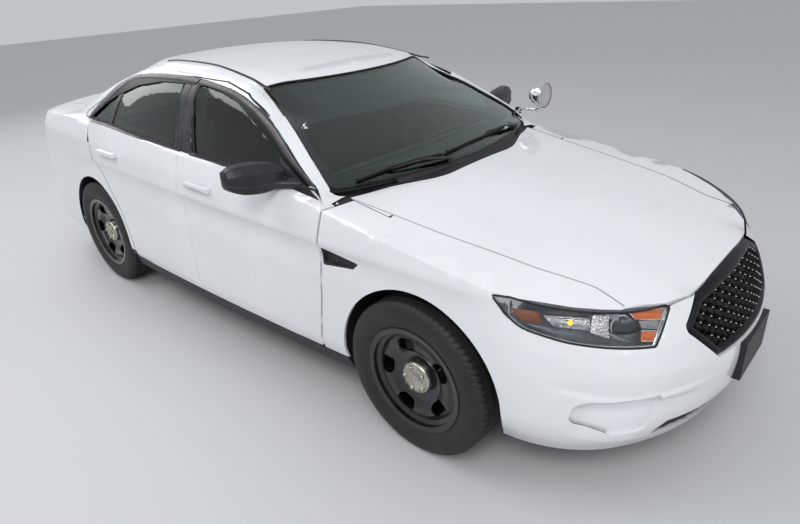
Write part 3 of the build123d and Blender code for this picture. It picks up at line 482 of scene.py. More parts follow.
def sheet(name, points, finish, body, thickness=0.0, angle=35.0, closed=False):
    """Grid surface of points (rows, columns, 3), with a wall when it is given a thickness."""
    points = np.asarray(points, float)
    faces = grid_faces(*points.shape[:2], closed_columns=closed)
    made = piece(name, points, faces, finish, body, angle)
    if thickness:
        walled(made, thickness=thickness, offset=0.0, use_even_offset=False)
        outward(made)
        shade(made, angle)
    return made


def turned(name, profile, centre, finish, body, steps=96, axis="x", outboard=1.0):
    """Profile of (offset along the axis, radius) turned about an axis through the centre: a
    point is centre + axis * offset + radius * (cos, sin) of the angle."""
    profile = np.asarray(profile, float)
    turn = turns(steps)[:, None]
    along = np.broadcast_to(profile[:, 0] * outboard, (steps, len(profile)))
    one, two = profile[:, 1] * np.cos(turn), profile[:, 1] * np.sin(turn)
    order = {"x": (along, one, two), "y": (two, along, one), "z": (one, two, along)}[axis]
    points = np.stack(order, -1) / 1000 + np.asarray(centre) / 1000
    return solid(name, points, grid_faces(steps, len(profile), closed_rows=True), finish, body)


def tube(name, path, radius, finish, body, sides=10, flat=1.0, up=(0, 0, 1), closed=False):
    """Round or flattened section carried along a path: at each point a ring of the radius in
    the plane across the path, its second axis flattened, with closed ends."""
    path = np.asarray(path, float)
    radius = np.broadcast_to(np.asarray(radius, float), (len(path),))
    ahead = np.gradient(path, axis=0)
    if closed:
        ahead = (np.roll(path, -1, 0) - np.roll(path, 1, 0)) / 2
    ahead /= np.linalg.norm(ahead, axis=1, keepdims=True)
    side = np.cross(ahead, np.asarray(up, float))
    side /= np.linalg.norm(side, axis=1, keepdims=True)
    over = np.cross(side, ahead)
    turn = turns(sides)[:, None]
    ring = side[:, None] * np.cos(turn) + over[:, None] * np.sin(turn) * flat
    points = path[:, None] + ring * radius[:, None, None]
    faces = grid_faces(len(path), sides, closed_rows=closed, closed_columns=True).tolist()
    if not closed:
        last = (len(path) - 1) * sides
        faces += [list(range(sides)), list(range(last, last + sides))[::-1]]
    mesh = bpy.data.meshes.new(name)
    mesh.from_pydata(points.reshape(-1, 3).tolist(), [], faces)
    mesh.materials.append(finish)
    made = linked(name, mesh)
    outward(made)
    shade(made, 60)
    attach(made, body)
    return made


def rounded(corners, radii, steps=6):
    """Closed outline with each corner replaced by an arc of its radius."""
    corners = np.asarray(corners, float)
    made = []
    for i, corner in enumerate(corners):
        before, after = corners[i - 1], corners[(i + 1) % len(corners)]
        a, b = before - corner, after - corner
        la, lb = np.linalg.norm(a), np.linalg.norm(b)
        a, b = a / la, b / lb
        half = math.acos(np.clip(a @ b, -1, 1)) / 2
        reach = min(radii[i] / math.tan(half), 0.48 * la, 0.48 * lb)
        start, end = corner + a * reach, corner + b * reach
        t = np.linspace(0, 1, steps)[:, None]
        made.append((1 - t) ** 2 * start + 2 * t * (1 - t) * corner + t**2 * end)
    return np.concatenate(made)


def spaced(line, count, closed=False):
    """The line's points spaced evenly along it."""
    line = np.asarray(line, float)
    if closed:
        line = np.concatenate([line, line[:1]])
    along = np.concatenate([[0], np.cumsum(np.linalg.norm(np.diff(line, axis=0), axis=1))])
    places = np.linspace(0, along[-1], count, endpoint=not closed)
    return np.stack([np.interp(places, along, line[:, k]) for k in range(line.shape[1])], -1)


# ---- the drawn panels eased -----------------------------------------------------------------
TURN_STEPS = 241
HULL_CREASE = 7  # the level whose edge stays sharp
# station of the point that a kind's turns are measured about
EASED_MIDDLE = {"hull": NOSE, "cabin": 2900.0}


def level_outline(row):
    """Half of a level seen from above, nose to tail: its three parabolas, with the corners
    between them eased by curves of the corners' radii."""
    nose, nose_x, nose_back, widest, tail_x, tail_back, tail_set, r1, r2 = row[2:]
    tail = LENGTH - tail_set
    middle = FRONT_AXLE + WHEELBASE / 2
    t = np.linspace(0, 1, 60)[:, None]

    def arc(a, b, c, t):
        """Parabola through three points, the middle one at the share of its distance."""
        a, b, c = np.array(a, float), np.array(b, float), np.array(c, float)
        k = np.linalg.norm(b - a) / (np.linalg.norm(b - a) + np.linalg.norm(c - b))
        return (
            a * (t - k) * (t - 1) / k + b * t * (t - 1) / (k * (k - 1)) + c * t * (t - k) / (1 - k)
        )

    front = arc((-nose_x, nose + nose_back), (0, nose), (nose_x, nose + nose_back), t)
    side = arc((nose_x, nose + nose_back), (widest, middle), (tail_x, tail - tail_back), t)
    back = arc((tail_x, tail - tail_back), (0, tail), (-tail_x, tail - tail_back), t)

    def joined(one, two, radius):
        """Two arcs cut back by the fillet's reach, and the curve between them."""
        tip, u, v = two[0], one[-1] - one[-6], two[5] - two[0]
        cosine = u @ v / np.linalg.norm(u) / np.linalg.norm(v)
        angle = math.acos(np.clip(cosine, -1, 1))
        reach = radius * math.tan(angle / 2)
        one = one[np.linalg.norm(one - tip, axis=1) > reach]
        two = two[np.linalg.norm(two - tip, axis=1) > reach]
        k = np.linspace(0, 1, 24)[1:-1, None]
        curve = one[-1] * (1 - k) ** 2 + tip * 2 * k * (1 - k) + two[0] * k**2
        return one, curve, two

    front, bend_front, side = joined(front, side, r1)
    side, bend_back, back = joined(side, back, r2)
    front, back = front[front[:, 0] >= 0], back[back[:, 0] >= 0]
    return np.concatenate([front, bend_front, side, bend_back, back])


def row_at(rows, z):
    """Row of a table of levels at a height over the front axle, blended straight."""
    return np.array([np.interp(z, rows[:, 0], rows[:, k]) for k in range(rows.shape[1])])


def easing(rows, middle, breaks):
    """Table over level height and turn: how much further the level reaches when it is eased by
    a cubic through the levels than when it is blended straight, and the level's normal."""
    heights, factors = [], []
    turn = np.linspace(0, math.pi, TURN_STEPS)
    parts = [rows[a:b + 1] for a, b in zip([0] + breaks, breaks + [len(rows) - 1])]
    for part in parts:
        gaps = zip(part[:-1, 0], part[1:, 0])
        for z in np.unique(np.concatenate([np.linspace(a, b, 7) for a, b in gaps])):
            straight = curved = row_at(part, z)
            if len(part) > 2:
                at = np.array([z])
                curved = np.array([smooth(at, part[:, 0], column)[0] for column in part.T])
            reach = []
            for row in (straight, curved):
                line = level_outline(row)
                angle = np.arctan2(line[:, 0], line[:, 1] - middle)[::-1]
                size = np.hypot(line[:, 0], line[:, 1] - middle)[::-1]
                order = np.argsort(angle)
                reach.append(np.interp(turn, angle[order], size[order]))
            slope = np.gradient(reach[0], turn)
            length = np.hypot(reach[0], slope)
            heights.append(z)
            factors.append(np.stack([
                reach[1] / reach[0] - 1,
                (reach[0] * np.sin(turn) - slope * np.cos(turn)) / length,
                (reach[0] * np.cos(turn) + slope * np.sin(turn)) / length,
            ], -1))
    heights = np.array(heights)
    heights[1:] += np.where(np.diff(heights) == 0, 1e-3, 0)
    return heights, np.array(factors)


EASED = {
    "hull": easing(HULL, EASED_MIDDLE["hull"], [HULL_CREASE]),
    "cabin": easing(CABIN, EASED_MIDDLE["cabin"], []),
}


def eased_by(kind, rows, x, s, z):
    """Points moved along the level's normal by the table's share of their reach."""
    heights, factors = EASED[kind]
    middle = EASED_MIDDLE[kind]
    level = np.clip(levels(rows, s, z)[..., 0], heights[0], heights[-1])
    column = np.arctan2(np.abs(x), s - middle) / math.pi * (TURN_STEPS - 1)
    j = np.clip(column.astype(int), 0, TURN_STEPS - 2)
    i = np.clip(np.searchsorted(heights, level) - 1, 0, len(heights) - 2)
    u = ((level - heights[i]) / (heights[i + 1] - heights[i]))[..., None]
    v = (column - j)[..., None]
    found = (
        factors[i, j] * (1 - u) * (1 - v) + factors[i + 1, j] * u * (1 - v)
        + factors[i, j + 1] * (1 - u) * v + factors[i + 1, j + 1] * u * v
    )
    side = np.where(np.asarray(x) < 0, -1.0, 1.0)
    across, along = found[..., 1] * side, found[..., 2]
    move = found[..., 0] * (x * across + (s - middle) * along)
    return x + move * across, s + move * along


CABIN_SPAN = (1330, 4960)  # stations between which the cabin stands on the hull


def eased(x, s, z):
    """Point of the drawn body on its eased surface: cabin above the belt, hull below it."""
    share = np.clip((z - belt_z(x, s) + 5) / 30, 0, 1)
    share = np.where((s > CABIN_SPAN[0]) & (s < CABIN_SPAN[1]), share, 0)
    cabin_x, cabin_s = eased_by("cabin", CABIN, x, s, z)
    hull_x, hull_s = eased_by("hull", HULL, x, s, z)
    return cabin_x * share + hull_x * (1 - share), cabin_s * share + hull_s * (1 - share)


ROOF_EDGE = 130.0  # how far from the roof's side edge its rounding begins
SKIN_DEPTH = 110.0  # points further than this under the skin keep their places


def settled(x, s, z):
    """Point of the drawn body on its final surface: eased, and with the edge between the roof
    and the cabin's side rounded by the smooth maximum max(a, b) + edge/4 (1 - |a-b|/edge)^2."""
    side = np.abs(x) - side_x(CABIN, np.clip(s, 1300, 5000), z)
    top = z - roof_z(x, s)
    near = np.clip(1 - np.abs(side - top) / ROOF_EDGE, 0, 1)
    keep = np.clip((z - 1120) / 60, 0, 1) * np.clip((s - 1900) / 150, 0, 1)
    keep = keep * np.clip((4450 - s) / 250, 0, 1)
    push = ROOF_EDGE / 4 * near**2 * keep * (np.maximum(side, top) > -SKIN_DEPTH)
    share = np.clip(0.5 + (side - top) / (2 * ROOF_EDGE), 0, 1)
    x2, s2 = eased(x, s, z)
    return x2 - np.sign(x) * push * (0.2 + 0.75 * share), s2, z - push * (0.95 - 0.6 * share)


# each kind's levels, with the most cuts between two of them and the heights the cuts keep to
LEVEL_CUTS = [(HULL, 4, 0, 1100), (CABIN, 5, 1060, 2000)]
# extra planes, as a point and a normal in x, station and height
ROOF_CUTS = {
    side: [((sign * x, 0, 0), (1, 0, 0)) for x in range(470, 720, 18)] for side, sign in SIDES
}
BUMPER_CUTS = [((x, 0, 0), (1, 0, 0)) for x in range(-860, 861, 13)]
BUMPER_CUTS += [((0, 0, z), (0, 0, 1)) for z in range(190, 690, 9)]
BUMPER_CUTS += [((0, s, 0), (0, 1, 0)) for s in range(330, 600, 14)]


def cut(work, point, normal):
    """Cuts a mesh along the plane through a point of the frame."""
    everything = list(work.verts) + list(work.edges) + list(work.faces)
    bmesh.ops.bisect_plane(
        work, geom=everything, dist=1e-5, plane_co=point, plane_no=Vector(normal).normalized(),
    )


def cut_levels(work):
    """Cuts a mesh along planes between the levels, so that it can bend there."""
    for rows, per_gap, lowest, highest in LEVEL_CUTS:
        for low, high in zip(rows[:-1], rows[1:]):
            count = max(1, min(per_gap, int((high[0] - low[0]) / 22)))
            for k in range(1, count + 1):
                z_front, z_rear = low[:2] + (high[:2] - low[:2]) * k / (count + 1)
                if lowest <= z_front <= highest:
                    slope = (z_rear - z_front) / WHEELBASE
                    cut(work, (0, (FRONT_AXLE - NOSE) / 1000, z_front / 1000), (0, -slope, 1))


def moved(mesh, change):
    """Moves the vertices of a mesh by a function of (x, station, height) in millimetres."""
    points = np.empty(len(mesh.vertices) * 3)
    mesh.vertices.foreach_get("co", points)
    points = change(points.reshape(-1, 3) * 1000 + (0, NOSE, 0))
    mesh.vertices.foreach_set("co", ((points - (0, NOSE, 0)) / 1000).ravel())


def dressed(node, finishes, pick, body, angle=28.0, cuts=(), relief=None):
    """Copy of a CAD node with its seams merged, cut by planes, its faces given finishes by their
    middles and normals, moved by a relief and bent; the copy stands for the node."""
    name = node + "_skin"
    mesh = NODES[node].data.copy()
    mesh.name = name
    with worked(mesh) as work:
        bmesh.ops.remove_doubles(work, verts=work.verts, dist=2e-6)
        bmesh.ops.dissolve_degenerate(work, edges=work.edges, dist=1e-6)
        cut_levels(work)
        for point, across in cuts:
            cut(work, (Vector(point) - Vector((0, NOSE, 0))) / 1000, across)
    mesh.materials.clear()
    for one in finishes:
        mesh.materials.append(one)
    made = linked(name, mesh)
    count = len(mesh.polygons)
    centre, normal = np.empty(count * 3), np.empty(count * 3)
    mesh.polygons.foreach_get("center", centre)
    mesh.polygons.foreach_get("normal", normal)
    chosen = pick(centre.reshape(-1, 3) * 1000 + (0, NOSE, 0), normal.reshape(-1, 3))
    mesh.polygons.foreach_set("material_index", np.asarray(chosen, np.int32))
    if relief:
        moved(mesh, relief)
    moved(mesh, lambda points: np.stack(settled(*points.T), -1))
    mesh.update()
    shade(made, angle)
    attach(made, body)
    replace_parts(made, node)


def whole(centre, normal):
    """Every face takes the first finish."""
    return np.zeros(len(centre), int)


# ---- painted panels -------------------------------------------------------------------------
def paint_and_dark(centre, normal):
    """Paint outside, coated metal inside."""
    out = np.sign(centre[:, 0]) * normal[:, 0]
    inner = (out < -0.25) | (normal[:, 2] < -0.6)
    return np.where(inner, 1, 0)


def bumper_pick(centre, normal):
    """Paint outside, dark plastic on the faces that look into the car or down."""
    back = np.where(centre[:, 1] < 2500, normal[:, 1] > 0.35, normal[:, 1] < -0.35)
    inner = np.sign(centre[:, 0]) * normal[:, 0] < -0.5
    return np.where(back | inner | (normal[:, 2] < -0.8), 1, 0)


SCOOP, HOLLOW = 32.0, 9.0  # depths pressed into each corner of the bumper
RECESS_DEPTH = 16.0  # of the corner recess in the drawn bumper, along the ray from the middle
# its outline seen from the front, grown by 2 mm
RECESS = np.array([(573, 502), (817, 510), (825, 409), (701, 323), (583, 310)], float)


def step(t):
    """Smooth step from 0 to 1."""
    t = np.clip(t, 0, 1)
    return t * t * (3 - 2 * t)


def inside(points, outline):
    """True for points inside a closed outline, by the crossings of a ray to +u."""
    u, v = points[..., 0, None], points[..., 1, None]
    a, b = outline, np.roll(outline, -1, 0)
    over = (a[:, 1] > v) != (b[:, 1] > v)
    span = np.where(b[:, 1] == a[:, 1], 1e-9, b[:, 1] - a[:, 1])
    crossing = (b[:, 0] - a[:, 0]) * (v - a[:, 1]) / span + a[:, 0]
    return (over & (u < crossing)).sum(-1) % 2 == 1


NOSE_CENTRE = 1300.0  # station of the middle that the nose's turns are measured about


def nose_reach(turn, z):
    """Distance of the drawn skin from the middle of the nose, over turn and level height."""
    heights = np.linspace(290, 540, 26)
    reaches = []
    for height in heights:
        line = level_outline(row_at(HULL, height))
        line = line[line[:, 1] < NOSE_CENTRE]
        angle = np.degrees(np.arctan2(line[:, 0], NOSE_CENTRE - line[:, 1]))
        size = np.hypot(line[:, 0], NOSE_CENTRE - line[:, 1])
        order = np.argsort(angle)
        reaches.append(np.interp(turn, angle[order], size[order]))
    row = np.clip((z - heights[0]) / (heights[1] - heights[0]), 0, len(heights) - 1.001)
    i = row.astype(int)
    reaches, share, column = np.array(reaches), row - i, np.arange(len(turn))
    return reaches[i, column] * (1 - share) + reaches[i + 1, column] * share


def bumper_relief(points):
    """Fills the drawn recess and presses in the scoop in each corner of the bumper and the
    hollow between its two creases, by depths over the turn round the nose and the height."""
    x, s, z = points.T.copy()
    across = np.abs(x)
    turn = np.degrees(np.arctan2(across, NOSE_CENTRE - s))
    away = np.stack([x, s - NOSE_CENTRE], -1)
    reach = np.linalg.norm(away, axis=1)
    away /= reach[:, None]
    behind = nose_reach(turn, levels(HULL, s, z)[..., 0]) - reach
    sunk = inside(np.stack([across, z], -1), RECESS) & (behind > 12) & (behind < 30)
    x, s = x + away[:, 0] * RECESS_DEPTH * sunk, s + away[:, 1] * RECESS_DEPTH * sunk
    # edges of the scoop and of the hollow, as heights over the turn in degrees
    top = np.interp(turn, [15, 24.1, 40.5, 44], [470, 482, 502, 506])
    low = np.interp(turn, [16, 28.8, 38.7, 43.5], [205, 261, 313, 348])
    end = np.interp(z, [348, 463, 502], [43.5, 42.2, 40.5])
    v = (z - low) / (top - low)
    depth = SCOOP * step((end - turn) / 4.5) * step((turn - 15) / 17)
    depth = depth * step((1 - v) / 0.13) * np.clip(v / 0.7, 0, 1)
    high = np.interp(turn, [20.8, 34.5, 47.1], [577, 627, 652])
    ridge = np.interp(turn, [24.6, 33.7, 43.7], [486, 492, 533])
    w = np.clip((z - ridge) / (high - ridge), 0, 1)
    hollow = HOLLOW * (1 - w) ** 1.2 * step(w / 0.2)
    depth = depth + hollow * step((48 - turn) / 8) * step((turn - 12) / 14)
    return np.stack([x - away[:, 0] * depth, s - away[:, 1] * depth, z], -1)


FLANK = (1950, 4300)  # stations between which the roof's flank runs over the doors


def flank_x(s, z):
    """Half width of the roof's flank."""
    return side_x(CABIN, np.clip(s, *FLANK), z)


def flank_relief(points):
    """Lays whatever stands out of the roof's flank above the doors back on the skin."""
    x, s, z = points.T.copy()
    flank = (z > 1300) & (s > FLANK[0]) & (s < FLANK[1])
    over = np.abs(x) - flank_x(s, z)
    x = np.where(flank & (over > 0.3), x - np.sign(x) * over, x)
    crown = roof_z(x, s)
    z = np.where(flank & (z > crown), crown, z)
    return np.stack([x, s, z], -1)


CABIN_MIDDLE = np.array([0, 2900, 1000.0])  # faces that look towards it are inside ones


def cabin_pick(centre, normal):
    """Paint outside, light lining inside the roof, dark trim on pillars and grained plastic on
    the sills and the foot of the windscreen."""
    x, s, z = centre.T
    inner = ((centre - CABIN_MIDDLE) * normal).sum(1) < 0
    lining = inner & (z > 1150)
    jamb = (np.abs(normal[:, 1]) > 0.7) & (z < 1100) & (s > 1500) & (s < 3500)
    low = z < 345
    foot = (z < 1063) & (s < 1620) & (np.abs(x) < 800)
    over_doors = (z > 1120) & (s > FLANK[0]) & (s < FLANK[1])
    skin = over_doors & ((np.abs(x) > flank_x(s, z) - 4) | (z > roof_z(x, s) - 3))
    return np.select([skin, low | foot, lining, inner | jamb], [0, 3, 1, 2], 0)


# outer edge of the window trim, edge of the glass and edge of the drawn opening, as (station,
# height) from the front to the rear
TRIM_LINES = {
    "front": (
        [(1649, 1089), (1796, 1164), (1884, 1216), (1997, 1281), (2131, 1340), (2246, 1382),
         (2318, 1406), (2419, 1429), (2530, 1447), (2658, 1463), (2716, 1469)],
        [(1690, 1086), (1800, 1142), (1905, 1194), (1966, 1229), (2043, 1271), (2129, 1313),
         (2215, 1349), (2295, 1374), (2375, 1397), (2468, 1414), (2575, 1427), (2656, 1436),
         (2716, 1440)],
        [(1700, 1080), (2125, 1287), (2345, 1384), (2545, 1431), (2716, 1440)],
    ),
    "rear": (
        [(2726, 1470), (2780, 1475), (2919, 1478), (3118, 1473), (3357, 1457), (3529, 1437),
         (3625, 1416), (3717, 1379), (3795, 1320), (3939, 1202), (3975, 1160)],
        [(2735, 1442), (2894, 1447), (3047, 1444), (3269, 1435), (3462, 1418), (3529, 1407),
         (3587, 1386), (3683, 1316), (3802, 1235), (3912, 1170)],
        [(2735, 1440), (2852, 1440), (3080, 1434), (3370, 1393), (3650, 1311), (3890, 1208),
         (3920, 1168)],
    ),
}


def over_trim(s, z):
    """Whether a side-view point lies above the outer edge of the window trim."""
    line = np.array(TRIM_LINES["front"][0] + TRIM_LINES["rear"][0], float)
    return z > np.interp(s, line[:, 0], line[:, 1])


def trim_planes(end, every):
    """Planes through the points of the trim's outer edge, seen from the side."""
    line = TRIM_LINES[end][0]
    line = line[:-1:every] + line[-1:]
    return [((0, *a), (0, a[1] - b[1], b[0] - a[0])) for a, b in zip(line[:-1], line[1:])]


def door_pick(centre, normal):
    """Paint below the belt outside, weathered trim round the window, dark film on the middle
    pillar and cabin plastic inside."""
    x, s, z = centre.T
    out = np.sign(x) * normal[:, 0]
    sill = np.interp(s, [1700, 2571, 2730, 3986], [1070, 1105, 1112, 1152])
    ahead = (s < 2000) & (212 * (z - 1073) - 167 * (s - 1704) > 0)
    frame_face = (z > sill) & ~ahead & (side_x(HULL, s, z) - np.abs(x) > 3)
    painted = frame_face & over_trim(s, z) & (out > 0.2)
    pillar = frame_face & (s > 2560) & (s < 2860)
    inner = (out < -0.45) & (np.abs(x) < 870)
    return np.select([painted, inner, pillar, frame_face], [0, 2, 3, 1], 0)


# where the paint ends below the windows and ahead of the front one
DOOR_CUTS = {
    "front": [((0, 1700, 1070), (0, -35, 871)), ((0, 1704, 1073), (0, -167, 212))],
    "rear": [((0, 2730, 1112), (0, -40, 1256))],
}


def lid_pick(centre, normal):
    """Paint outside and black coating below."""
    return np.where((normal[:, 2] < -0.2) & (centre[:, 2] > 790), 1, 0)


def lining_pick(centre, normal):
    """Paint above and lining below."""
    return np.where(normal[:, 2] < -0.2, 1, 0)


def cowl_pick(centre, normal):
    """Grained plastic, with paint on the two ends beside the hood's rear edge."""
    x, s, z = centre.T
    return np.where((np.abs(x) > 700) & (s < 1545) & (normal[:, 2] > 0), 1, 0)


dressed("fenders", [PAINT, UNDERBODY], paint_and_dark, "chassis")
dressed("front_bumper", [PAINT, GRAINED_BLACK], bumper_pick, "chassis", cuts=BUMPER_CUTS,
        relief=bumper_relief)
dressed("rear_bumper", [PAINT, GRAINED_BLACK], bumper_pick, "chassis")
dressed("body_shell", [PAINT, HEADLINER, INNER_TRIM, GRAINED_BLACK], cabin_pick, "chassis",
        cuts=ROOF_CUTS["right"] + ROOF_CUTS["left"], relief=flank_relief)
dressed("roof_panel", [PAINT, HEADLINER], lining_pick, "chassis",
        cuts=ROOF_CUTS["right"] + ROOF_CUTS["left"])
dressed("hood", [PAINT, UNDERBODY], lid_pick, "hood_assembly")
dressed("trunk_lid", [PAINT, UNDERBODY], lid_pick, "trunk_assembly")
for end in ("front", "rear"):
    for side in ("left", "right"):
        body = f"{end}_door_{side}_assembly"
        dressed(f"{end}_door_{side}", [PAINT, WEATHERED_TRIM, INNER_TRIM, PILLAR_TRIM], door_pick,
                body, cuts=DOOR_CUTS[end] + trim_planes(end, 2) + ROOF_CUTS[side],
                relief=flank_relief)
        dressed(f"{end}_door_glass_{side}", [TINTED_GLASS], whole, body, 40)
dressed("cowl_panel", [GRAINED_BLACK, PAINT], cowl_pick, "chassis")
dressed("fender_vents", [GRAINED_BLACK], whole, "chassis")
dressed("windshield", [WINDSCREEN_GLASS], whole, "chassis", 40)
dressed("rear_glass", [TINTED_GLASS], whole, "chassis", 40)


# ---- grille ---------------------------------------------------------------------------------
def inward(line, amount):
    """Closed outline moved inwards by an amount, along the normal of its tangent."""
    ahead = np.roll(line, -1, 0) - np.roll(line, 1, 0)
    ahead /= np.linalg.norm(ahead, axis=1, keepdims=True)
    normal = np.stack([-ahead[:, 1], ahead[:, 0]], 1)
    middle = line.mean(0)
    if ((middle - line) * normal).sum() < 0:
        normal = -normal
    return line + normal * amount


def nose_place(xz, depth):
    """Points on the nose at a depth behind its skin."""
    return place(xz[..., 0], front_s(HULL, xz[..., 0], xz[..., 1]) + depth, xz[..., 1])


def both(corners):
    """Outline made symmetrical from its corners at x above 0."""
    corners = np.asarray(corners, float)
    return np.concatenate([corners, corners[::-1] * (-1, 1)])


GRILLE_CORNERS = both([(150, 800), (316, 788), (465, 714), (322, 561)])
GRILLE_LINE = rounded(GRILLE_CORNERS, [30, 20, 25, 40, 40, 25, 20, 30])
GRILLE_LINE = spaced(GRILLE_LINE, 200, closed=True)
# each ring of the frame: how far in from the opening's edge, and how far behind the skin
FRAME_RINGS = [(1, 30), (2, 9), (6, 4), (16, 1), (28, 4), (35, 12), (37, 34)]
rings = np.stack([nose_place(inward(GRILLE_LINE, i), d) for i, d in FRAME_RINGS], 1)
ring_faces = grid_faces(*rings.shape[:2], closed_rows=True)
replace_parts(solid("grille_frame", rings, ring_faces, FRAME_BLACK, "chassis", 50), "grille")

CELL_HALF = 23.0  # a cell's half width; its half height is less, as the real mesh's
CELL_RISE = 19.5
HEX = np.array([(1, 0), (0.5, 1), (-0.5, 1), (-1, 0), (-0.5, -1), (0.5, -1)])
HEX = HEX * (CELL_HALF, CELL_RISE)


def honeycomb(name, outline, depth, finish):
    """Cells of a hexagonal lattice whose middles lie in the outline. Each has a ridge on its
    edge, a sloped face to a smaller hexagon and a wall behind it."""
    low, high = outline.min(0) - 60, outline.max(0) + 60
    column = np.arange(int((high[0] - low[0]) / (1.5 * CELL_HALF)) + 1)
    row = np.arange(int((high[1] - low[1]) / (2 * CELL_RISE)) + 1)
    c, r = np.meshgrid(column, row, indexing="ij")
    middles = np.stack([low[0] + c * 1.5 * CELL_HALF, low[1] + (r * 2 + c % 2) * CELL_RISE], -1)
    middles = middles.reshape(-1, 2)
    middles = middles[inside(middles, outline)]
    # rings of a cell: share of its size, and how far behind the skin
    cell = [(1.0, depth + 3), (0.93, depth), (0.8, depth + 4), (0.76, depth + 22)]
    points = np.stack([nose_place(middles[:, None] + HEX * size, d) for size, d in cell], 1)
    count, sides = len(cell), len(HEX)
    faces = [
        grid_faces(count, sides, closed_columns=True, start=k * count * sides)
        for k in range(len(middles))
    ]
    solid(name, points, np.concatenate(faces), finish, "chassis", 30)
    return middles


MESH_DEPTH = 14.0  # of the lattice behind the nose's skin
grille_cells = honeycomb("grille_mesh", inward(GRILLE_LINE, 26), MESH_DEPTH, MESH_BLACK)
# small pyramids on the lattice's corners, on every second column, in chrome that paints the
# highlights the black mesh catches there
nub_places = grille_cells + (CELL_HALF, 0)
nub_places = nub_places[inside(nub_places, inward(GRILLE_LINE, 34))]
NUB = np.array([(-4.5, 0, 0), (0, 0, -4.5), (4.5, 0, 0), (0, 0, 4.5), (0, -7, 0)])
nub_faces = [
    (k * 5 + a, k * 5 + (a + 1) % 4, k * 5 + 4) for k in range(len(nub_places)) for a in range(4)
]
solid("grille_highlight_nubs", nose_place(nub_places, MESH_DEPTH)[:, None] + NUB / 1000, nub_faces, CHROME,
      "chassis", 20)
# near-black sheet closing the grille from behind: painted shade standing in for the dark bay
back = np.stack([inward(GRILLE_LINE, i) for i in (2, 120, 215)], 1)
back[..., 1] = np.minimum(back[..., 1], 800)  # below the hood's lip
back_faces = grid_faces(*back.shape[:2], closed_rows=True)
piece("grille_shade_backing", nose_place(back, 46), back_faces, LINER_FELT_AND_SHADE, "chassis", 60)

# brow between the frame and the lip of the hood, whose front edge lies at these x and stations
HOOD_LIP = np.array([(0, 172), (150, 172), (345, 188), (478, 227), (609, 320)], float)
brow_u, brow_v = np.meshgrid(np.linspace(-250, 250, 90), np.linspace(0, 1, 6), indexing="ij")
brow_low = np.interp(np.abs(brow_u), [0, 150, 316, 440], [797, 797, 785, 734])
brow_skin = front_s(HULL, brow_u, brow_low)
brow_lip = np.interp(np.abs(brow_u), HOOD_LIP[:, 0], HOOD_LIP[:, 1]) - 5
brow_s = brow_skin + 3 + (np.maximum(brow_lip, brow_skin + 8) - brow_skin) * brow_v
brow_top = belt_z(brow_u, brow_s) - 22
brow_z = brow_low + (brow_top - brow_low) * np.sin(brow_v * math.pi / 2)
sheet("grille_brow", place(brow_u, brow_s, brow_z), FRAME_BLACK, "chassis", 0.002)

# lower slot: louvred backing between the bumper and its lip
slot_u, slot_v = np.meshgrid(np.linspace(-556, 556, 120), np.linspace(0, 1, 60), indexing="ij")
slot_z = 250 + 86 * slot_v
slot_depth = 20 + 6 * np.cos(slot_v * 2 * math.pi * 5)
slot = nose_place(np.stack([slot_u, slot_z], -1), slot_depth)
sheet("lower_slot_louvres", slot, GRAINED_BLACK, "chassis")

# ---- headlamps ------------------------------------------------------------------------------
LAMP_AIM = np.array([0, 1300, 600.0])  # middle of the engine bay


def looks_out(centre, normal):
    """Whether a face of a lamp looks away from the middle of the bay, as its cover does."""
    away = centre - LAMP_AIM
    away /= np.linalg.norm(away, axis=1, keepdims=True)
    return (away * normal).sum(1) > 0.45


def lamp_part(name, finish, cover):
    """Piece made of the headlamps' covers, or of all their other faces."""
    mesh = NODES["headlamps"].data.copy()
    mesh.name = name
    with worked(mesh) as work:
        bmesh.ops.remove_doubles(work, verts=work.verts, dist=2e-6)
        centre = np.array([f.calc_center_median() for f in work.faces]) * 1000 + (0, NOSE, 0)
        normal = np.array([f.normal for f in work.faces])
        drop = [f for f, out in zip(work.faces, looks_out(centre, normal)) if out != cover]
        bmesh.ops.delete(work, geom=drop, context="FACES")
    mesh.materials.clear()
    mesh.materials.append(finish)
    made = linked(name, mesh)
    shade(made, 40)
    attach(made, "chassis")
    return made


lamp_lens = lamp_part("headlamp_lenses", LENS, True)
walled(lamp_lens, thickness=0.0025, offset=-1.0)
shade(lamp_lens, 40)
lamp_bowl = lamp_part("headlamp_bowls", LAMP_GREY, False)
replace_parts(lamp_bowl, "headlamps")


def pad_points(centre, across, rise, count, bulge):
    """Oval patch: centre + across * u + rise * v over a disc, pushed out by bulge * (1 - r^2)."""
    centre, across, rise = (np.asarray(v, float) for v in (centre, across, rise))
    out = np.cross(across, rise)
    out /= np.linalg.norm(out)
    r, t = np.meshgrid(np.linspace(0.02, 1, 8), turns(count), indexing="ij")
    points = centre + across * (r * np.cos(t))[..., None] + rise * (r * np.sin(t))[..., None]
    return in_frame(points + out * (bulge * (1 - r**2))[..., None])


def blended(corners, columns, rows):
    """Grid between four corners, and its shares along and across."""
    a, b, c, d = (np.asarray(v, float) for v in corners)
    u, v = np.meshgrid(np.linspace(0, 1, columns), np.linspace(0, 1, rows), indexing="ij")
    u, v = u[..., None], v[..., None]
    return a * (1 - u) * (1 - v) + b * u * (1 - v) + c * u * v + d * (1 - u) * v, u, v


def strip_points(corners, dish):
    """Four-cornered patch blended between its corners, dished in the middle by dish mm."""
    points, u, v = blended(corners, 14, 6)
    out = np.cross(corners[1] - corners[0], corners[3] - corners[0])
    out /= np.linalg.norm(out)
    return in_frame(points - out * dish * np.sin(math.pi * u) * np.sin(math.pi * v))


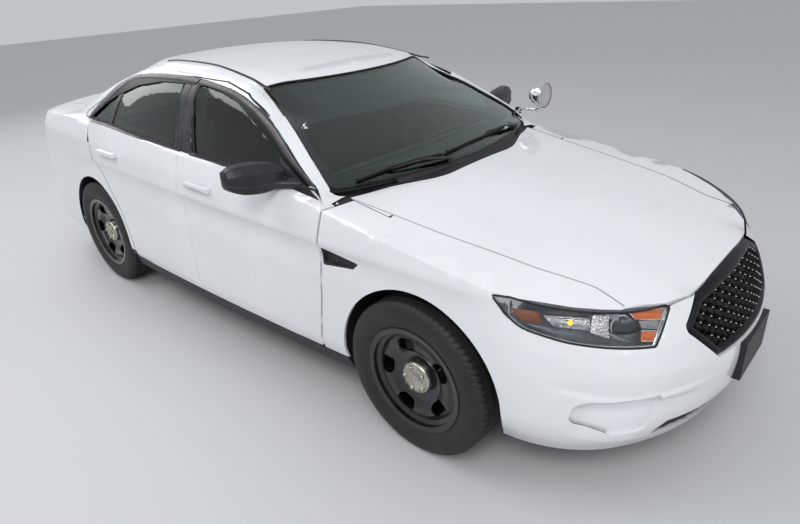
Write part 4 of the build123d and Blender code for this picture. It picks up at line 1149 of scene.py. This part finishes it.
# inner pieces of the right lamp: finish, corners on the cover as (x, station, height), how far
# behind it they lie and how far they are dished; the left lamp is the mirror
LAMP_PATCHES = {
    "side_marker": (
        DIM_AMBER, [(-874, 628, 836), (-833, 529, 830), (-838, 512, 790), (-866, 580, 796)], 10, 4),
    "lamp_ledge": (
        SILVER, [(-872, 622, 862), (-655, 312, 822), (-672, 306, 796), (-868, 600, 838)], 16, 2),
    "turn_pocket": (
        REFLECTOR, [(-829, 511, 816), (-738, 382, 807), (-747, 368, 767), (-819, 474, 782)],
        24, 14),
    "chrome_square": (
        REFLECTOR, [(-729, 379, 818), (-687, 339, 815), (-715, 319, 738), (-753, 371, 762)], 14, 5),
    "projector_shroud": (
        DARK_CHROME, [(-690, 345, 812), (-606, 250, 800), (-592, 232, 712), (-712, 326, 722)],
        30, 22),
    "inner_upper": (
        AMBER, [(-628, 301, 818), (-490, 217, 792), (-520, 211, 763), (-619, 275, 789)], 10, 6),
    "inner_middle": (
        WHITE_LENS, [(-609, 264, 780), (-540, 220, 766), (-558, 213, 740), (-610, 250, 756)],
        10, 4),
    "inner_lower": (
        AMBER, [(-613, 248, 750), (-552, 206, 732), (-581, 204, 706), (-631, 241, 718)], 10, 6),
    "chrome_bar": (
        CHROME, [(-482, 215, 793), (-592, 201, 693), (-602, 211, 698), (-502, 222, 793)], 6, 0),
    "chrome_step": (
        REFLECTOR, [(-708, 324, 758), (-666, 266, 720), (-640, 258, 700), (-700, 330, 716)], 12, 4),
}
# wires of bright trim round three of them
LAMP_LIPS = {"turn_pocket": 0.0022, "inner_upper": 0.0018, "inner_lower": 0.0018}


def behind_lens(point, depth):
    """Point of the right lamp moved towards the middle of the bay by depth mm."""
    point = np.asarray(point, float)
    aim = LAMP_AIM - point
    return point + aim / np.linalg.norm(aim) * depth


for side, mirror in (("right", 1), ("left", -1)):
    for name, (finish, corners, depth, dish) in LAMP_PATCHES.items():
        sunk = [behind_lens(c, depth) * (mirror, 1, 1) for c in corners]
        sheet(f"{name}_{side}", strip_points(sunk, dish * mirror), finish, "chassis", 0.002)
    for name, radius in LAMP_LIPS.items():
        corners, depth = LAMP_PATCHES[name][1:3]
        lip = [behind_lens(c, depth - 3) * (mirror, 1, 1) for c in corners]
        tube(f"{name}_lip_{side}", in_frame(spaced(lip, 60, closed=True)), radius, CHROME,
             "chassis", 6, closed=True, up=(0.2, 0.9, 0.3))
for side, sign in (("right", -1), ("left", 1)):
    # projector: chromed ring round a glass dome that looks ahead and out
    axis = np.array([sign * 0.56, -0.8, 0.12])
    axis /= np.linalg.norm(axis)
    across = np.cross(axis, (0, 0, 1))
    across /= np.linalg.norm(across)
    rise = np.cross(across, axis)
    middle = np.array([sign * 645, 318, 764])
    turn = turns(40)[:, None]
    ring_path = middle + 38 * (across * np.cos(turn) + rise * np.sin(turn))
    tube(f"projector_ring_{side}", in_frame(ring_path), 0.0045, CHROME, "chassis", up=axis,
         closed=True)
    dome = pad_points(middle - axis * 4, across * -37, rise * 37, 40, bulge=20)
    sheet(f"projector_dome_{side}", dome, DARK_GLASS, "chassis", closed=True)
    seat = behind_lens((-785, 430, 796), 18) * (-sign, 1, 1)
    bulb = pad_points(seat, across * -10, rise * 10, 20, bulge=10)
    sheet(f"turn_bulb_{side}", bulb, AMBER_LIT, "chassis", closed=True)


def boundary_loops(made):
    """Open edges of a mesh as ordered closed loops of points."""
    work = bmesh.new()
    work.from_mesh(made.data)
    bmesh.ops.remove_doubles(work, verts=work.verts, dist=1e-5)
    loops, left = [], {e for e in work.edges if e.is_boundary}
    while left:
        edge = min(left, key=lambda e: e.index)
        left.discard(edge)
        start, at_vertex = edge.verts
        line = [start.co.copy(), at_vertex.co.copy()]
        while True:
            following = [e for e in at_vertex.link_edges if e in left]
            if not following:
                break
            left.discard(following[0])
            at_vertex = following[0].other_vert(at_vertex)
            line.append(at_vertex.co.copy())
        if len(line) > 12:
            loops.append(np.array(line[:-1]))
    work.free()
    return loops


# rubber round the edge of each cover, on a copy of the covers that is then thrown away
rim = lamp_part("lamp_rim_source", RUBBER, True)
for number, loop in enumerate(boundary_loops(rim)):
    line = spaced(loop, 150, closed=True)
    side = "left" if line[:, 0].mean() > 0 else "right"
    tube(f"headlamp_seal_{side}_{number}", line, 0.004, RUBBER, "chassis", sides=8, closed=True,
         up=(0.1, 0.2, 1))
bpy.data.objects.remove(rim)

# ---- wheels ---------------------------------------------------------------------------------
# tread band and side wall: offset across, radius, in the tyre's own section
TYRE_PROFILE = np.array([
    (-98, 231), (-105, 245), (-113, 262), (-119, 278), (-121.8, 292), (-122.2, 305), (-120.5, 320),
    (-116.5, 335), (-113, 343), (-110, 349), (-104, 356.2), (-96, 360.6), (-86, 362.6),
])
TREAD_BLOCKS = 76
TREAD_STEPS = 608
GROOVES = np.array([-58.0, -20.0, 20.0, 58.0])
CROWN_RADIUS = 363.3
GROOVE_DEPTH, SHOULDER_DEPTH, CUT_DEPTH, RIB_HEIGHT = 6.5, 4.5, 3.0, 0.8


def tyre(name, centre, outboard, body):
    """Grid of angle and section place. The section's radius drops by the depth of the round
    grooves, of slanted cuts on the shoulders and of finer cuts between the grooves, and rises
    by fine ribs on the side wall."""
    edges = (GROOVES[:, None] + (-6.5, -5, 5, 6.5)).ravel()
    crown = np.sort(np.concatenate([edges, [-76, -74, 0, 74, 76]]))
    across = np.concatenate([TYRE_PROFILE[:, 0], crown, -TYRE_PROFILE[::-1, 0]])
    crown_radius = CROWN_RADIUS - 2.2 * (np.abs(crown) / 86) ** 3
    radius = np.concatenate([TYRE_PROFILE[:, 1], crown_radius, TYRE_PROFILE[::-1, 1]])
    turn = turns(TREAD_STEPS)[:, None]
    gap = np.abs(across[:, None] - GROOVES).min(1)
    band = np.abs(across) < 80
    depth = np.where(band & (gap < 5.8), GROOVE_DEPTH, 0.0) * np.ones_like(turn)
    phase = (turn * TREAD_BLOCKS / (2 * math.pi) + np.abs(across) / 110) % 1
    shoulder = (np.abs(across) > 64) & (np.abs(across) < 112)
    middle_cut = (np.abs(across) < 58) & (gap > 6)
    depth += np.where(shoulder & (phase < 0.2), SHOULDER_DEPTH, 0.0)
    depth += np.where(middle_cut & (phase > 0.5) & (phase < 0.6), CUT_DEPTH, 0.0)
    wall = (np.abs(across) > 100) & (radius > 300) & (radius < 352)
    ribs = np.where(wall & ((turn * 180 / math.pi * 0.5) % 1 < 0.4), RIB_HEIGHT, 0.0)
    points_r = radius - depth + ribs
    along = np.broadcast_to(across * outboard, points_r.shape)
    points = np.stack([along, points_r * np.cos(turn), points_r * np.sin(turn)], -1)
    points = points / 1000 + np.asarray(centre)
    faces = grid_faces(*points_r.shape, closed_rows=True)
    return solid(name, points, faces, TYRE_RUBBER, body, 32)


# hub cap, and the bumps on it over the wheel's nuts and between them
CAP_PROFILE = [
    (70, 76), (77, 75), (83, 71), (87, 64), (88.5, 50), (88.5, 34), (86, 30), (86, 0.01),
]
NUT_BUMP = 53, [(84, 10.5), (92, 10), (96, 7.5), (97.5, 4), (98, 0.01)]
SMALL_BUMP = 58, [(84, 6.5), (91, 6), (93.5, 0.01)]
BUMPS = [NUT_BUMP, SMALL_BUMP] * 5
for end, station in (("front", FRONT_AXLE), ("rear", REAR_AXLE)):
    for side, sign in SIDES:
        body = f"{end}_wheel_{side}_assembly"
        centre = np.array([sign * HALF_TRACK, station - NOSE, TYRE_RADIUS]) / 1000
        rubber = tyre(f"{end}_tread_{side}", centre, sign, body)
        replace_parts(rubber, f"{end}_tyre_{side}")
        turned(f"{end}_cap_{side}", CAP_PROFILE, centre * 1000, CAP_STEEL, body, 72, outboard=sign)
        for k, (ring, profile) in enumerate(BUMPS):
            angle = 2 * math.pi * k / len(BUMPS)
            spot = centre * 1000 + np.array([0, math.cos(angle), math.sin(angle)]) * ring
            turned(f"{end}_cap_bump_{side}_{k}", profile, spot, CAP_STEEL, body, 20,
                   outboard=sign)

# ---- door mirrors ---------------------------------------------------------------------------
# section of the housing as shares of its half depth and half height: rear face, top, the ridge
# in front, the step above the lower lip, and the underside
MIRROR_SECTION = rounded(
    [(1, 0.78), (0.45, 1), (-0.45, 0.93), (-0.98, 0.36), (-0.86, -0.4), (-1, -0.52),
     (-0.8, -0.96), (0.5, -1), (1, -0.76)],
    [0.3, 0.5, 0.6, 0.06, 0.05, 0.05, 0.3, 0.4, 0.3], 8,
)
MIRROR_SECTION = spaced(MIRROR_SECTION, 110, closed=True)
# along the housing: x, station, middle height, half depth, half height
MIRROR_SPINE = np.array([
    (850, 1838, 1128, 1, 1), (854, 1840, 1128, 14, 20), (864, 1844, 1127, 24, 31),
    (882, 1852, 1126, 34, 44), (915, 1864, 1125, 44, 60), (965, 1880, 1127, 52, 70),
    (1025, 1894, 1132, 54, 70), (1080, 1906, 1138, 48, 62), (1112, 1914, 1142, 37, 47),
    (1128, 1918, 1144, 21, 27), (1133, 1920, 1144, 1, 1),
], float)
# corners of the sail that carries it, in the front corner of the window, as (station, height)
MIRROR_SAIL = [(1624, 1032), (1862, 1067), (1938, 1217), (1780, 1124)]
spine_x = np.concatenate([[850, 851, 852.5], np.linspace(854, 1128, 44), [1130, 1132, 1133]])
spine = [smooth(spine_x, MIRROR_SPINE[:, 0], MIRROR_SPINE[:, k])[:, None] for k in range(5)]
for side, sign in SIDES:
    body = f"front_door_{side}_assembly"
    x, s, z, half_depth, half_height = spine
    s = s + np.maximum(half_depth, 0.5) * MIRROR_SECTION[:, 0]
    z = z + np.maximum(half_height, 0.5) * MIRROR_SECTION[:, 1]
    faces = grid_faces(*s.shape, closed_columns=True)
    shell = solid(f"mirror_shell_{side}", place(sign * x, s, z), faces, SATIN_BLACK, body, 28)
    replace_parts(shell, f"mirror_{side}")
    # arm from the door's sail to the housing
    foot = place(
        sign * np.array([812, 845, 880, 930]), [1742, 1788, 1832, 1866], [1078, 1080, 1083, 1086],
    )
    tube(f"mirror_foot_{side}", spaced(foot, 16), np.linspace(0.031, 0.036, 16), SATIN_BLACK,
         body, 20, 0.72)
    s, z = np.moveaxis(blended(MIRROR_SAIL, 12, 10)[0], -1, 0)
    sail = place(sign * (side_x(CABIN, s, z) + 3), s, z)
    sheet(f"mirror_sail_{side}", sail, SATIN_BLACK, body, 0.006)
    face = pad_points((sign * 1005, 1948, 1131), (sign * 100, 16, 2), (0, -4, 54), 40, 3)
    sheet(f"mirror_glass_{side}", face, MIRROR_FACE, body, closed=True)

# ---- trim round the windows and on the roof -------------------------------------------------
def on_side(sz, out, sign):
    """Side-view points laid on the cabin's settled side, out from it by mm."""
    s, z = np.asarray(sz, float)[..., 0], np.asarray(sz, float)[..., 1]
    x2, s2, z2 = settled(side_x(CABIN, s, z), s, z)
    return place(sign * (x2 + out), s2, z2 + 0.25 * out)


def banded(edge, other, shares, rises, sign):
    """Grid of lines between two side-view lines, each laid on the side by its rise in mm."""
    shares = np.asarray(shares, float)[:, None, None]
    lines = edge * (1 - shares) + other * shares
    return np.stack([on_side(line, rise, sign) for line, rise in zip(lines, rises)])


# gutter of the roof as (station, x)
GUTTER = np.array([
    (2174, 633), (2267, 611), (2363, 589), (2536, 567), (2717, 549), (2900, 538), (3095, 529),
    (3323, 510),
])
# ends of the strip along the foot of a window: how far it passes the window's two lower corners
BELT_ENDS = {"front": (-60, 40), "rear": (-20, -10)}
for side, sign in SIDES:
    for end, window in (("front", FRONT_WINDOW), ("rear", REAR_WINDOW)):
        body = f"{end}_door_{side}_assembly"
        line = spaced(rounded(window, [14] * len(window), 5), 120, closed=True)
        tube(f"{end}_window_seal_{side}", on_side(line, -3, sign), 0.0055, RUBBER, body, 8,
             closed=True, up=(sign, 0.0, 0.3))
        edge, glass, opening = (spaced(one, 140) for one in TRIM_LINES[end])
        trim = banded(edge, glass, [0, 0.02, 0.1, 0.5, 0.72, 0.74], [-2, 3, 5, 5, 4, 1], sign)
        sheet(f"{end}_window_trim_{side}", trim, WEATHERED_TRIM, body, 0.0015, 50)
        run = banded(edge, glass, [0.74, 0.8, 1.0], [2, 4, 3], sign)
        sheet(f"{end}_glass_run_{side}", run, RUBBER, body, 0.0015, 50)
        border = banded(glass, opening - (0, 3), np.linspace(0, 1, 4), [2.5] * 4, sign)
        sheet(f"{end}_glass_border_{side}", border, PANE_BORDER, body, 0.001, 50)
        low = window[:2] + np.array([[BELT_ENDS[end][0], -8], [BELT_ENDS[end][1], -8]])
        tube(f"{end}_belt_strip_{side}", on_side(spaced(low, 40), 2, sign), 0.0065,
             GRAINED_BLACK, body, 8, 0.8)
    # painted foot of the windscreen pillar, over the gap between the door and the shell
    z = np.linspace(1052, 1330, 60)[:, None]
    trim = np.array(TRIM_LINES["front"][0], float)
    rear = side_x(CABIN, np.interp(z, trim[:, 1], trim[:, 0]), z)
    edge = 803 - (z - 1064) * 200 / 380
    x = rear + (edge - rear) * np.linspace(0, 1, 14)
    x2, s2, z2 = settled(x, front_s(CABIN, x, z + 0 * x), z + 0 * x)
    foot = np.stack([x2 + 3, s2 - 2.5, z2 + 1], -1)
    sheet(f"pillar_foot_{side}", place(*np.moveaxis(foot * (sign, 1, 1), -1, 0)), PAINT,
          "chassis", 0.0012)
    # and the corner between it and the rear edge of the fender
    wing_x = np.linspace(876, 756, 14)
    wing = np.stack([wing_x, 0 * wing_x + 1558, belt_z(wing_x, 1558) + 1.5], -1)
    share = np.linspace(0, 1, 10)[:, None, None]
    corner = foot[2] * (1 - share) + wing * share
    corner[..., 2] -= 8 * np.sin(math.pi * share[..., 0])
    sheet(f"pillar_corner_{side}", place(*np.moveaxis(corner * (sign, 1, 1), -1, 0)), PAINT,
          "chassis", 0.0012)
    # strip in the roof's gutter, from the windscreen's corner back
    s = np.linspace(2180, 3330, 60)
    x = np.interp(s, GUTTER[:, 0], GUTTER[:, 1])
    x2, s2, z2 = settled(x, s, roof_z(x, s))
    tube(f"roof_strip_{side}", place(sign * x2, s2, z2), 0.009, RUBBER, "chassis", 8, 0.5)

# ---- windscreen border, cowl and wipers -----------------------------------------------------
WINDSCREEN_EDGE = both([(600, 1444), (800, 1064)])


def screen_place(xz, out):
    """Points laid on the windscreen, moved out along its slope by mm."""
    x, z = xz[..., 0], xz[..., 1]
    x2, s2, z2 = settled(x, front_s(CABIN, x, z), z)
    return place(x2, s2 - out * 0.5, z2 + out * 0.8)


edge = spaced(rounded(WINDSCREEN_EDGE, [40, 24, 24, 40], 8), 240, closed=True)
lower = np.clip((1200 - edge[:, 1]) / 120, 0, 1)[:, None]
middle = np.clip(1 - np.abs(edge[:, :1]) / 700, 0, 1)
# the printed border is wider in the lower corners
width = (inward(edge, 34) - edge) * (1 + 0.9 * lower * (1 - middle) + 0.25 * lower * middle)
border = np.stack([inward(edge, -4) + width * (k / 38) for k in (0, 12, 26, 38)], 1)
border_faces = grid_faces(*border.shape[:2], closed_rows=True)
piece("windscreen_ceramic", screen_place(border, -15), border_faces, CERAMIC, "chassis", 60)
band_u, band_v = np.meshgrid(np.linspace(-1, 1, 60), np.linspace(0, 1, 10), indexing="ij")
band_z = 1424 - 125 * band_v
band = np.stack([band_u * (598 + (1444 - band_z) * 0.526 - 28), band_z], -1)
sheet("windscreen_shade", screen_place(band, -16.5), SHADE_BAND, "chassis")

# seal between glass and paint at the sides and top
for side, sign in SIDES:
    line = spaced([(803, 1068), (604, 1444)], 60) * (sign, 1)
    tube(f"windscreen_seal_{side}", screen_place(line, -2), 0.0055, RUBBER, "chassis", 8,
         up=(sign, 0, 0.2))
top = spaced([(-600, 1447), (600, 1447)], 60)
tube("windscreen_seal_top", screen_place(top, -2), 0.005, RUBBER, "chassis", 8, up=(0, 1, 0.4))

# each wiper: blade from its tip to its pivot end as (x, height), then its arm
WIPERS = {
    "passenger": (
        [(-672, 1083), (-500, 1101), (-330, 1106), (-185, 1099)],
        [(-500, 1093), (-330, 1090), (-165, 1074)],
    ),
    "driver": (
        [(-150, 1102), (40, 1108), (230, 1107), (430, 1099)],
        [(215, 1112), (390, 1098), (560, 1077)],
    ),
}
# the arm swells towards its pivot
ARM_SHARES, ARM_RADII = [0, 0.2, 0.55, 0.6, 1], [0.005, 0.007, 0.008, 0.012, 0.015]
PIVOT_PROFILE = [(-14, 17), (8, 17), (14, 13), (15, 0.01)]
wiper_pieces = []
for name, (blade, arm) in WIPERS.items():
    line = spaced(blade, 50)
    reach = spaced(arm, 40)
    rise = 13 + 16 * np.sin(np.linspace(0, math.pi, 40))
    radius = np.interp(np.linspace(0, 1, 40), ARM_SHARES, ARM_RADII)
    knob = screen_place(reach[-1], 6) * 1000
    rubber, beam, raised = (screen_place(*one) for one in ((line, 3), (line, 12), (reach, rise)))
    wiper_pieces += [
        tube(f"wiper_rubber_{name}", rubber, 0.004, RUBBER, "chassis", 10, 1.8),
        tube(f"wiper_beam_{name}", beam, 0.0075, SATIN_BLACK, "chassis", 10, 0.5),
        tube(f"wiper_arm_{name}", raised, radius, SATIN_BLACK, "chassis", 14, 0.5),
        turned(f"wiper_pivot_{name}", PIVOT_PROFILE, knob, SATIN_BLACK, "chassis", 24, "z"),
    ]
for one in wiper_pieces:
    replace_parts(one, "wipers")

# ribs across the cowl, which bows to the rear at its ends
for k in range(44):
    x = -645 + 30 * k
    s = 1395 + 0.00036 * x * x + np.array([14, 66])
    tube(f"cowl_rib_{k:02d}", place(x, s, belt_z(x, s) + 1.2), 0.0035, GRAINED_BLACK, "chassis",
         6, 0.6)


# ---- cabin furniture ------------------------------------------------------------------------
def cushion(name, x, width, outline, corner, finish, belly, bolster):
    """Padded block: a closed side-view outline swept across the width, drawn in towards both
    ends by corner * (1 - (1 - u^6)^(1/2)), its top raised by belly * (1 - u^2) in the middle and
    by bolster * u^4 near the ends."""
    line = rounded([c[:2] for c in outline], [c[2] for c in outline], 8)
    line = spaced(line, 84, closed=True)
    middle = line.mean(0)
    u = np.concatenate([[-1], np.linspace(-0.995, 0.995, 41), [1]])[:, None]
    shrink = corner * (1 - np.sqrt(1 - np.abs(u) ** 6))
    spread = np.linalg.norm(line - middle, axis=1)
    scale = 1 - np.minimum(shrink / spread[None, :], 0.96)
    away = (line - middle) / spread[:, None]
    puff = belly * (1 - u**2) + bolster * u**4
    s = middle[0] + (line[:, 0] - middle[0]) * scale + away[:, 0] * puff * 0.6
    z = middle[1] + (line[:, 1] - middle[1]) * scale + away[:, 1] * puff
    faces = grid_faces(*s.shape, closed_columns=True)
    made = piece(name, place(x + u * width / 2, s, z), faces, finish, "chassis", 180)
    with worked(made.data) as work:
        bmesh.ops.holes_fill(work, edges=[e for e in work.edges if e.is_boundary], sides=0)
        bmesh.ops.recalc_face_normals(work, faces=work.faces)
    shade(made, 70)
    return made


# side-view outline as (station, height, radius of the corner), width, belly and bolster
FRONT_SEAT = {
    "cushion": (
        [(2084, 420, 40), (2078, 566, 55), (2330, 548, 120), (2566, 522, 50), (2590, 420, 40)],
        500, 10, 26,
    ),
    "back": (
        [(2530, 440, 40), (2664, 450, 40), (2856, 1170, 60), (2770, 1215, 40), (2730, 1160, 40)],
        486, 6, 30,
    ),
    "headrest": (
        [(2764, 1196, 24), (2748, 1372, 36), (2836, 1392, 36), (2846, 1196, 24)], 262, 8, 0,
    ),
}
BENCH = {
    "bench_cushion": (
        [(3026, 300, 30), (3012, 556, 60), (3400, 536, 60), (3424, 450, 20), (3250, 320, 20)],
        1220, 12, 0,
    ),
    "bench_back": (
        [(3372, 470, 40), (3490, 470, 40), (3742, 1100, 50), (3640, 1128, 40)], 1220, 10, 0,
    ),
}
SEAT_X = 370.0  # middle of a front seat
# base under a front seat: its half width and its profile as (station, height)
BASE_HALF, BASE_PROFILE = 200.0, [(2130, 268), (2130, 425), (2570, 425), (2570, 268)]
for side, sign in SIDES:
    x = sign * SEAT_X
    for part, (outline, width, belly, bolster) in FRONT_SEAT.items():
        made = cushion(f"front_{part}_{side}", x, width, outline, 46, CLOTH, belly, bolster)
        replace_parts(made, "front_seats")
    s, z = np.array(BASE_PROFILE, float).T[..., None]
    base = place([x - BASE_HALF, x + BASE_HALF], s, z)
    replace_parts(sheet(f"seat_base_{side}", base, INNER_TRIM, "chassis", 0.01), "front_seats")
for name, (outline, width, belly, bolster) in BENCH.items():
    made = cushion(name, 0, width, outline, 60, CLOTH, belly, bolster)
    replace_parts(made, "rear_bench")


# ---- tail -----------------------------------------------------------------------------------
def tail_patch(name, x, z, out, finish, body):
    """Rear-view rectangle between two x and two heights laid on the tail, out by mm, its edges
    sinking to the skin."""
    u, v = np.meshgrid(np.linspace(*x, 60), np.linspace(*z, 8), indexing="ij")
    x2, s2, z2 = settled(u, tail_s(HULL, u, v), v)
    edge = np.minimum(np.minimum(u - x[0], x[1] - u), np.minimum(v - z[0], z[1] - v))
    rise = out * np.clip(edge / 4, 0, 1)
    sheet(name, place(x2, s2 + rise + 1, z2), finish, body, 0.0015)


# blank plate in its dark panel, lower insert and reflectors of the rear bumper, trunk's bar
tail_patch("rear_plate_panel", (-290, 290), (560, 730), 1.5, GRAINED_BLACK, "chassis")
tail_patch("rear_plate_blank", (-153, 153), (568, 720), 6, WHITE_LENS, "chassis")
tail_patch("rear_lower_insert", (-520, 520), (225, 330), 2, GRAINED_BLACK, "chassis")
tail_patch("trunk_bar", (-430, 430), (872, 900), 5, GLOSS_BLACK, "trunk_assembly")
for side, sign in (("right", -1), ("left", 1)):
    ends = sorted((sign * 430, sign * 560))
    tail_patch(f"rear_reflector_{side}", ends, (392, 418), 3, RED_LENS, "chassis")

# ---- mirror and dashboard inside ------------------------------------------------------------
# the mirror is a flattened ball whose ends are blunt and bent to the rear
u, t = np.meshgrid(np.linspace(0.02, math.pi - 0.02, 20), turns(40), indexing="ij")
mirror_x = 122 * np.cos(u)
mirror_z = 1364 + 36 * np.sin(u) ** 0.4 * np.sin(t)
mirror_s = 2215 + 16 * np.sin(u) ** 0.4 * np.cos(t) + 10 * np.abs(np.cos(u))
sheet("cabin_mirror", place(mirror_x, mirror_s, mirror_z), INNER_TRIM, "chassis", closed=True)
tube("cabin_mirror_stalk", place(0, [2205, 2180, 2140], [1380, 1398, 1404]), 0.011, INNER_TRIM,
     "chassis", 12)

# defroster slot, and the hood over the instruments
tube("defroster_slot", place(np.linspace(-560, 560, 60), 1722, 1071), 0.009, GRAINED_BLACK,
     "chassis", 8, 0.4)
hood_u, hood_t = np.meshgrid(np.linspace(-1, 1, 40), np.linspace(0, math.pi, 24), indexing="ij")
hood_s = 1890 - 95 * np.sin(hood_t) * (1 - 0.3 * hood_u**2)
hood_z = 1044 + 46 * np.sqrt(np.clip(1 - hood_u**2, 0, 1)) * np.cos(hood_t - math.pi / 2)
sheet("instrument_hood", place(370 + 205 * hood_u, hood_s, hood_z), DASH, "chassis", 0.008)

# ---- spotlight ------------------------------------------------------------------------------
SPOT = np.array([905.0, 1556.0 - NOSE, 1195.0])
ARM_Z = 1104.0
# pieces turned about the axes of the head and of its arm: profile, centre, finish, body, steps
# and axis
SPOT_PIECES = {
    "spotlight_shell": (
        [(-50, 74), (-46, 76), (-40, 76), (-36, 73), (-30, 72.5), (0, 68), (24, 57), (40, 42),
         (49, 22), (50, 0.01)],
        SPOT, CHROME, "spotlight_head", 96, "y",
    ),
    "spotlight_bowl": (
        [(-46, 70), (-30, 58), (-14, 40), (-4, 16), (-3, 0.01)],
        SPOT, REFLECTOR, "spotlight_head", 96, "y",
    ),
    "spotlight_glass": (
        [(-49, 0.01), (-48.5, 40), (-47, 71)], SPOT, WHITE_LENS, "spotlight_head", 96, "y",
    ),
    "spotlight_bulb": (
        [(-34, 0.01), (-34, 14), (-12, 14)], SPOT, LAMP_GREY, "spotlight_head", 40, "y",
    ),
    "spotlight_neck": (
        [(-80, 9), (-70, 11), (-60, 16)], SPOT, CHROME, "spotlight_head", 32, "z",
    ),
    "spotlight_boss": (
        [(-10, 13), (-4, 17), (6, 17), (9, 12)],
        (905, 1556 - NOSE, ARM_Z), CHROME, "chassis", 32, "z",
    ),
    "spotlight_collar": (
        [(-14, 24), (-6, 22), (6, 15), (10, 13)],
        (846, 1651 - NOSE, ARM_Z), SATIN_BLACK, "chassis", 32, "x",
    ),
}
spot_made = {name: turned(name, *values) for name, values in SPOT_PIECES.items()}
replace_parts(spot_made["spotlight_shell"], "spotlight")
arm_path = place([838, 872, 896, 905, 905], [1651, 1650, 1640, 1618, 1552], ARM_Z)
arm = tube("spotlight_stalk", spaced(arm_path, 30), 0.0095, CHROME, "chassis", 16, 0.85)
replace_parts(arm, "spotlight_arm")

# plainer carried nodes keep their shape and take the finish of the real piece
CARRIED = {
    "floor_pan": CARPET, "front_frame": UNDERBODY, "front_suspension": CAST_METAL,
    "rear_suspension": CAST_METAL, "engine_block": CAST_METAL, "exhaust": CAST_METAL,
    "wheel_liners": LINER_FELT_AND_SHADE, "sill_mouldings": GRAINED_BLACK, "plate_bracket": GRAINED_BLACK,
    "knuckle_left": CAST_METAL, "knuckle_right": CAST_METAL, "tail_lamps": RED_LENS,
    "dashboard": DASH, "steering_wheel": INNER_TRIM, "front_wheel_left": STEEL_BLACK,
    "front_wheel_right": STEEL_BLACK, "rear_wheel_left": STEEL_BLACK,
    "rear_wheel_right": STEEL_BLACK,
}
for node, finish in CARRIED.items():
    mesh = NODES[node].data
    mesh.materials.clear()
    mesh.materials.append(finish)

# ---- floor, light and camera ----------------------------------------------------------------
# pale floor: a soft even grey that the white car stands out from
FLOOR = material("pale_floor", "#c9cacb", 0.55)
floor = sheet("floor", place(*np.meshgrid([-30000, 30000], [-28000, 32000]), 0), FLOOR, "chassis")
floor.parent = None


def lamp(name, where, aim, size, energy):
    """Soft rectangular lamp aimed at a point."""
    light = bpy.data.lights.new(name, "AREA")
    light.shape, light.size, light.size_y, light.energy = "RECTANGLE", size[0], size[1], energy
    made = linked(name, light)
    made.location = where
    made.rotation_euler = (Vector(aim) - Vector(where)).to_track_quat("-Z", "Y").to_euler()


lamp("key_softbox", (-5.0, -4.0, 6.0), (0, 0, 0.6), (4.0, 3.0), 215)
lamp("top_strip", (-2.5, 3.5, 6.0), (0, 0, 0.8), (6.0, 2.5), 140)
lamp("nose_softbox", (0.5, -8.0, 4.0), (0, -1.0, 0.6), (5.0, 3.0), 80)
lamp("rear_softbox", (0.0, 8.0, 4.5), (0, 0, 0.6), (5.0, 3.0), 90)

SKY, SKY_STRENGTH = "#dfe3e8", 0.72
world = bpy.data.worlds.new("studio")
bpy.context.scene.world = world
world.use_nodes = True
background = world.node_tree.nodes["Background"]
background.inputs["Color"].default_value = linear(SKY)
background.inputs["Strength"].default_value = SKY_STRENGTH
bpy.context.scene.view_settings.view_transform = "Standard"

# the camera as it stood for the photograph: low in front of the right corner, a little tilted
CAMERA_AT = (-2.4617, -2.9276, 1.9146)
CAMERA_AIM = (1.6647, 0.9401, -0.7914)
CAMERA_ROLL = math.radians(-3.52)
camera_data = bpy.data.cameras.new("camera")
camera_data.sensor_width = 36.0
camera_data.lens = 27.1
camera = linked("camera", camera_data)
camera.location = CAMERA_AT
turn = (Vector(CAMERA_AIM) - camera.location).to_track_quat("-Z", "Y")
camera.rotation_mode = "QUATERNION"
camera.rotation_quaternion = turn @ Euler((0, 0, CAMERA_ROLL)).to_quaternion()
bpy.context.scene.camera = camera
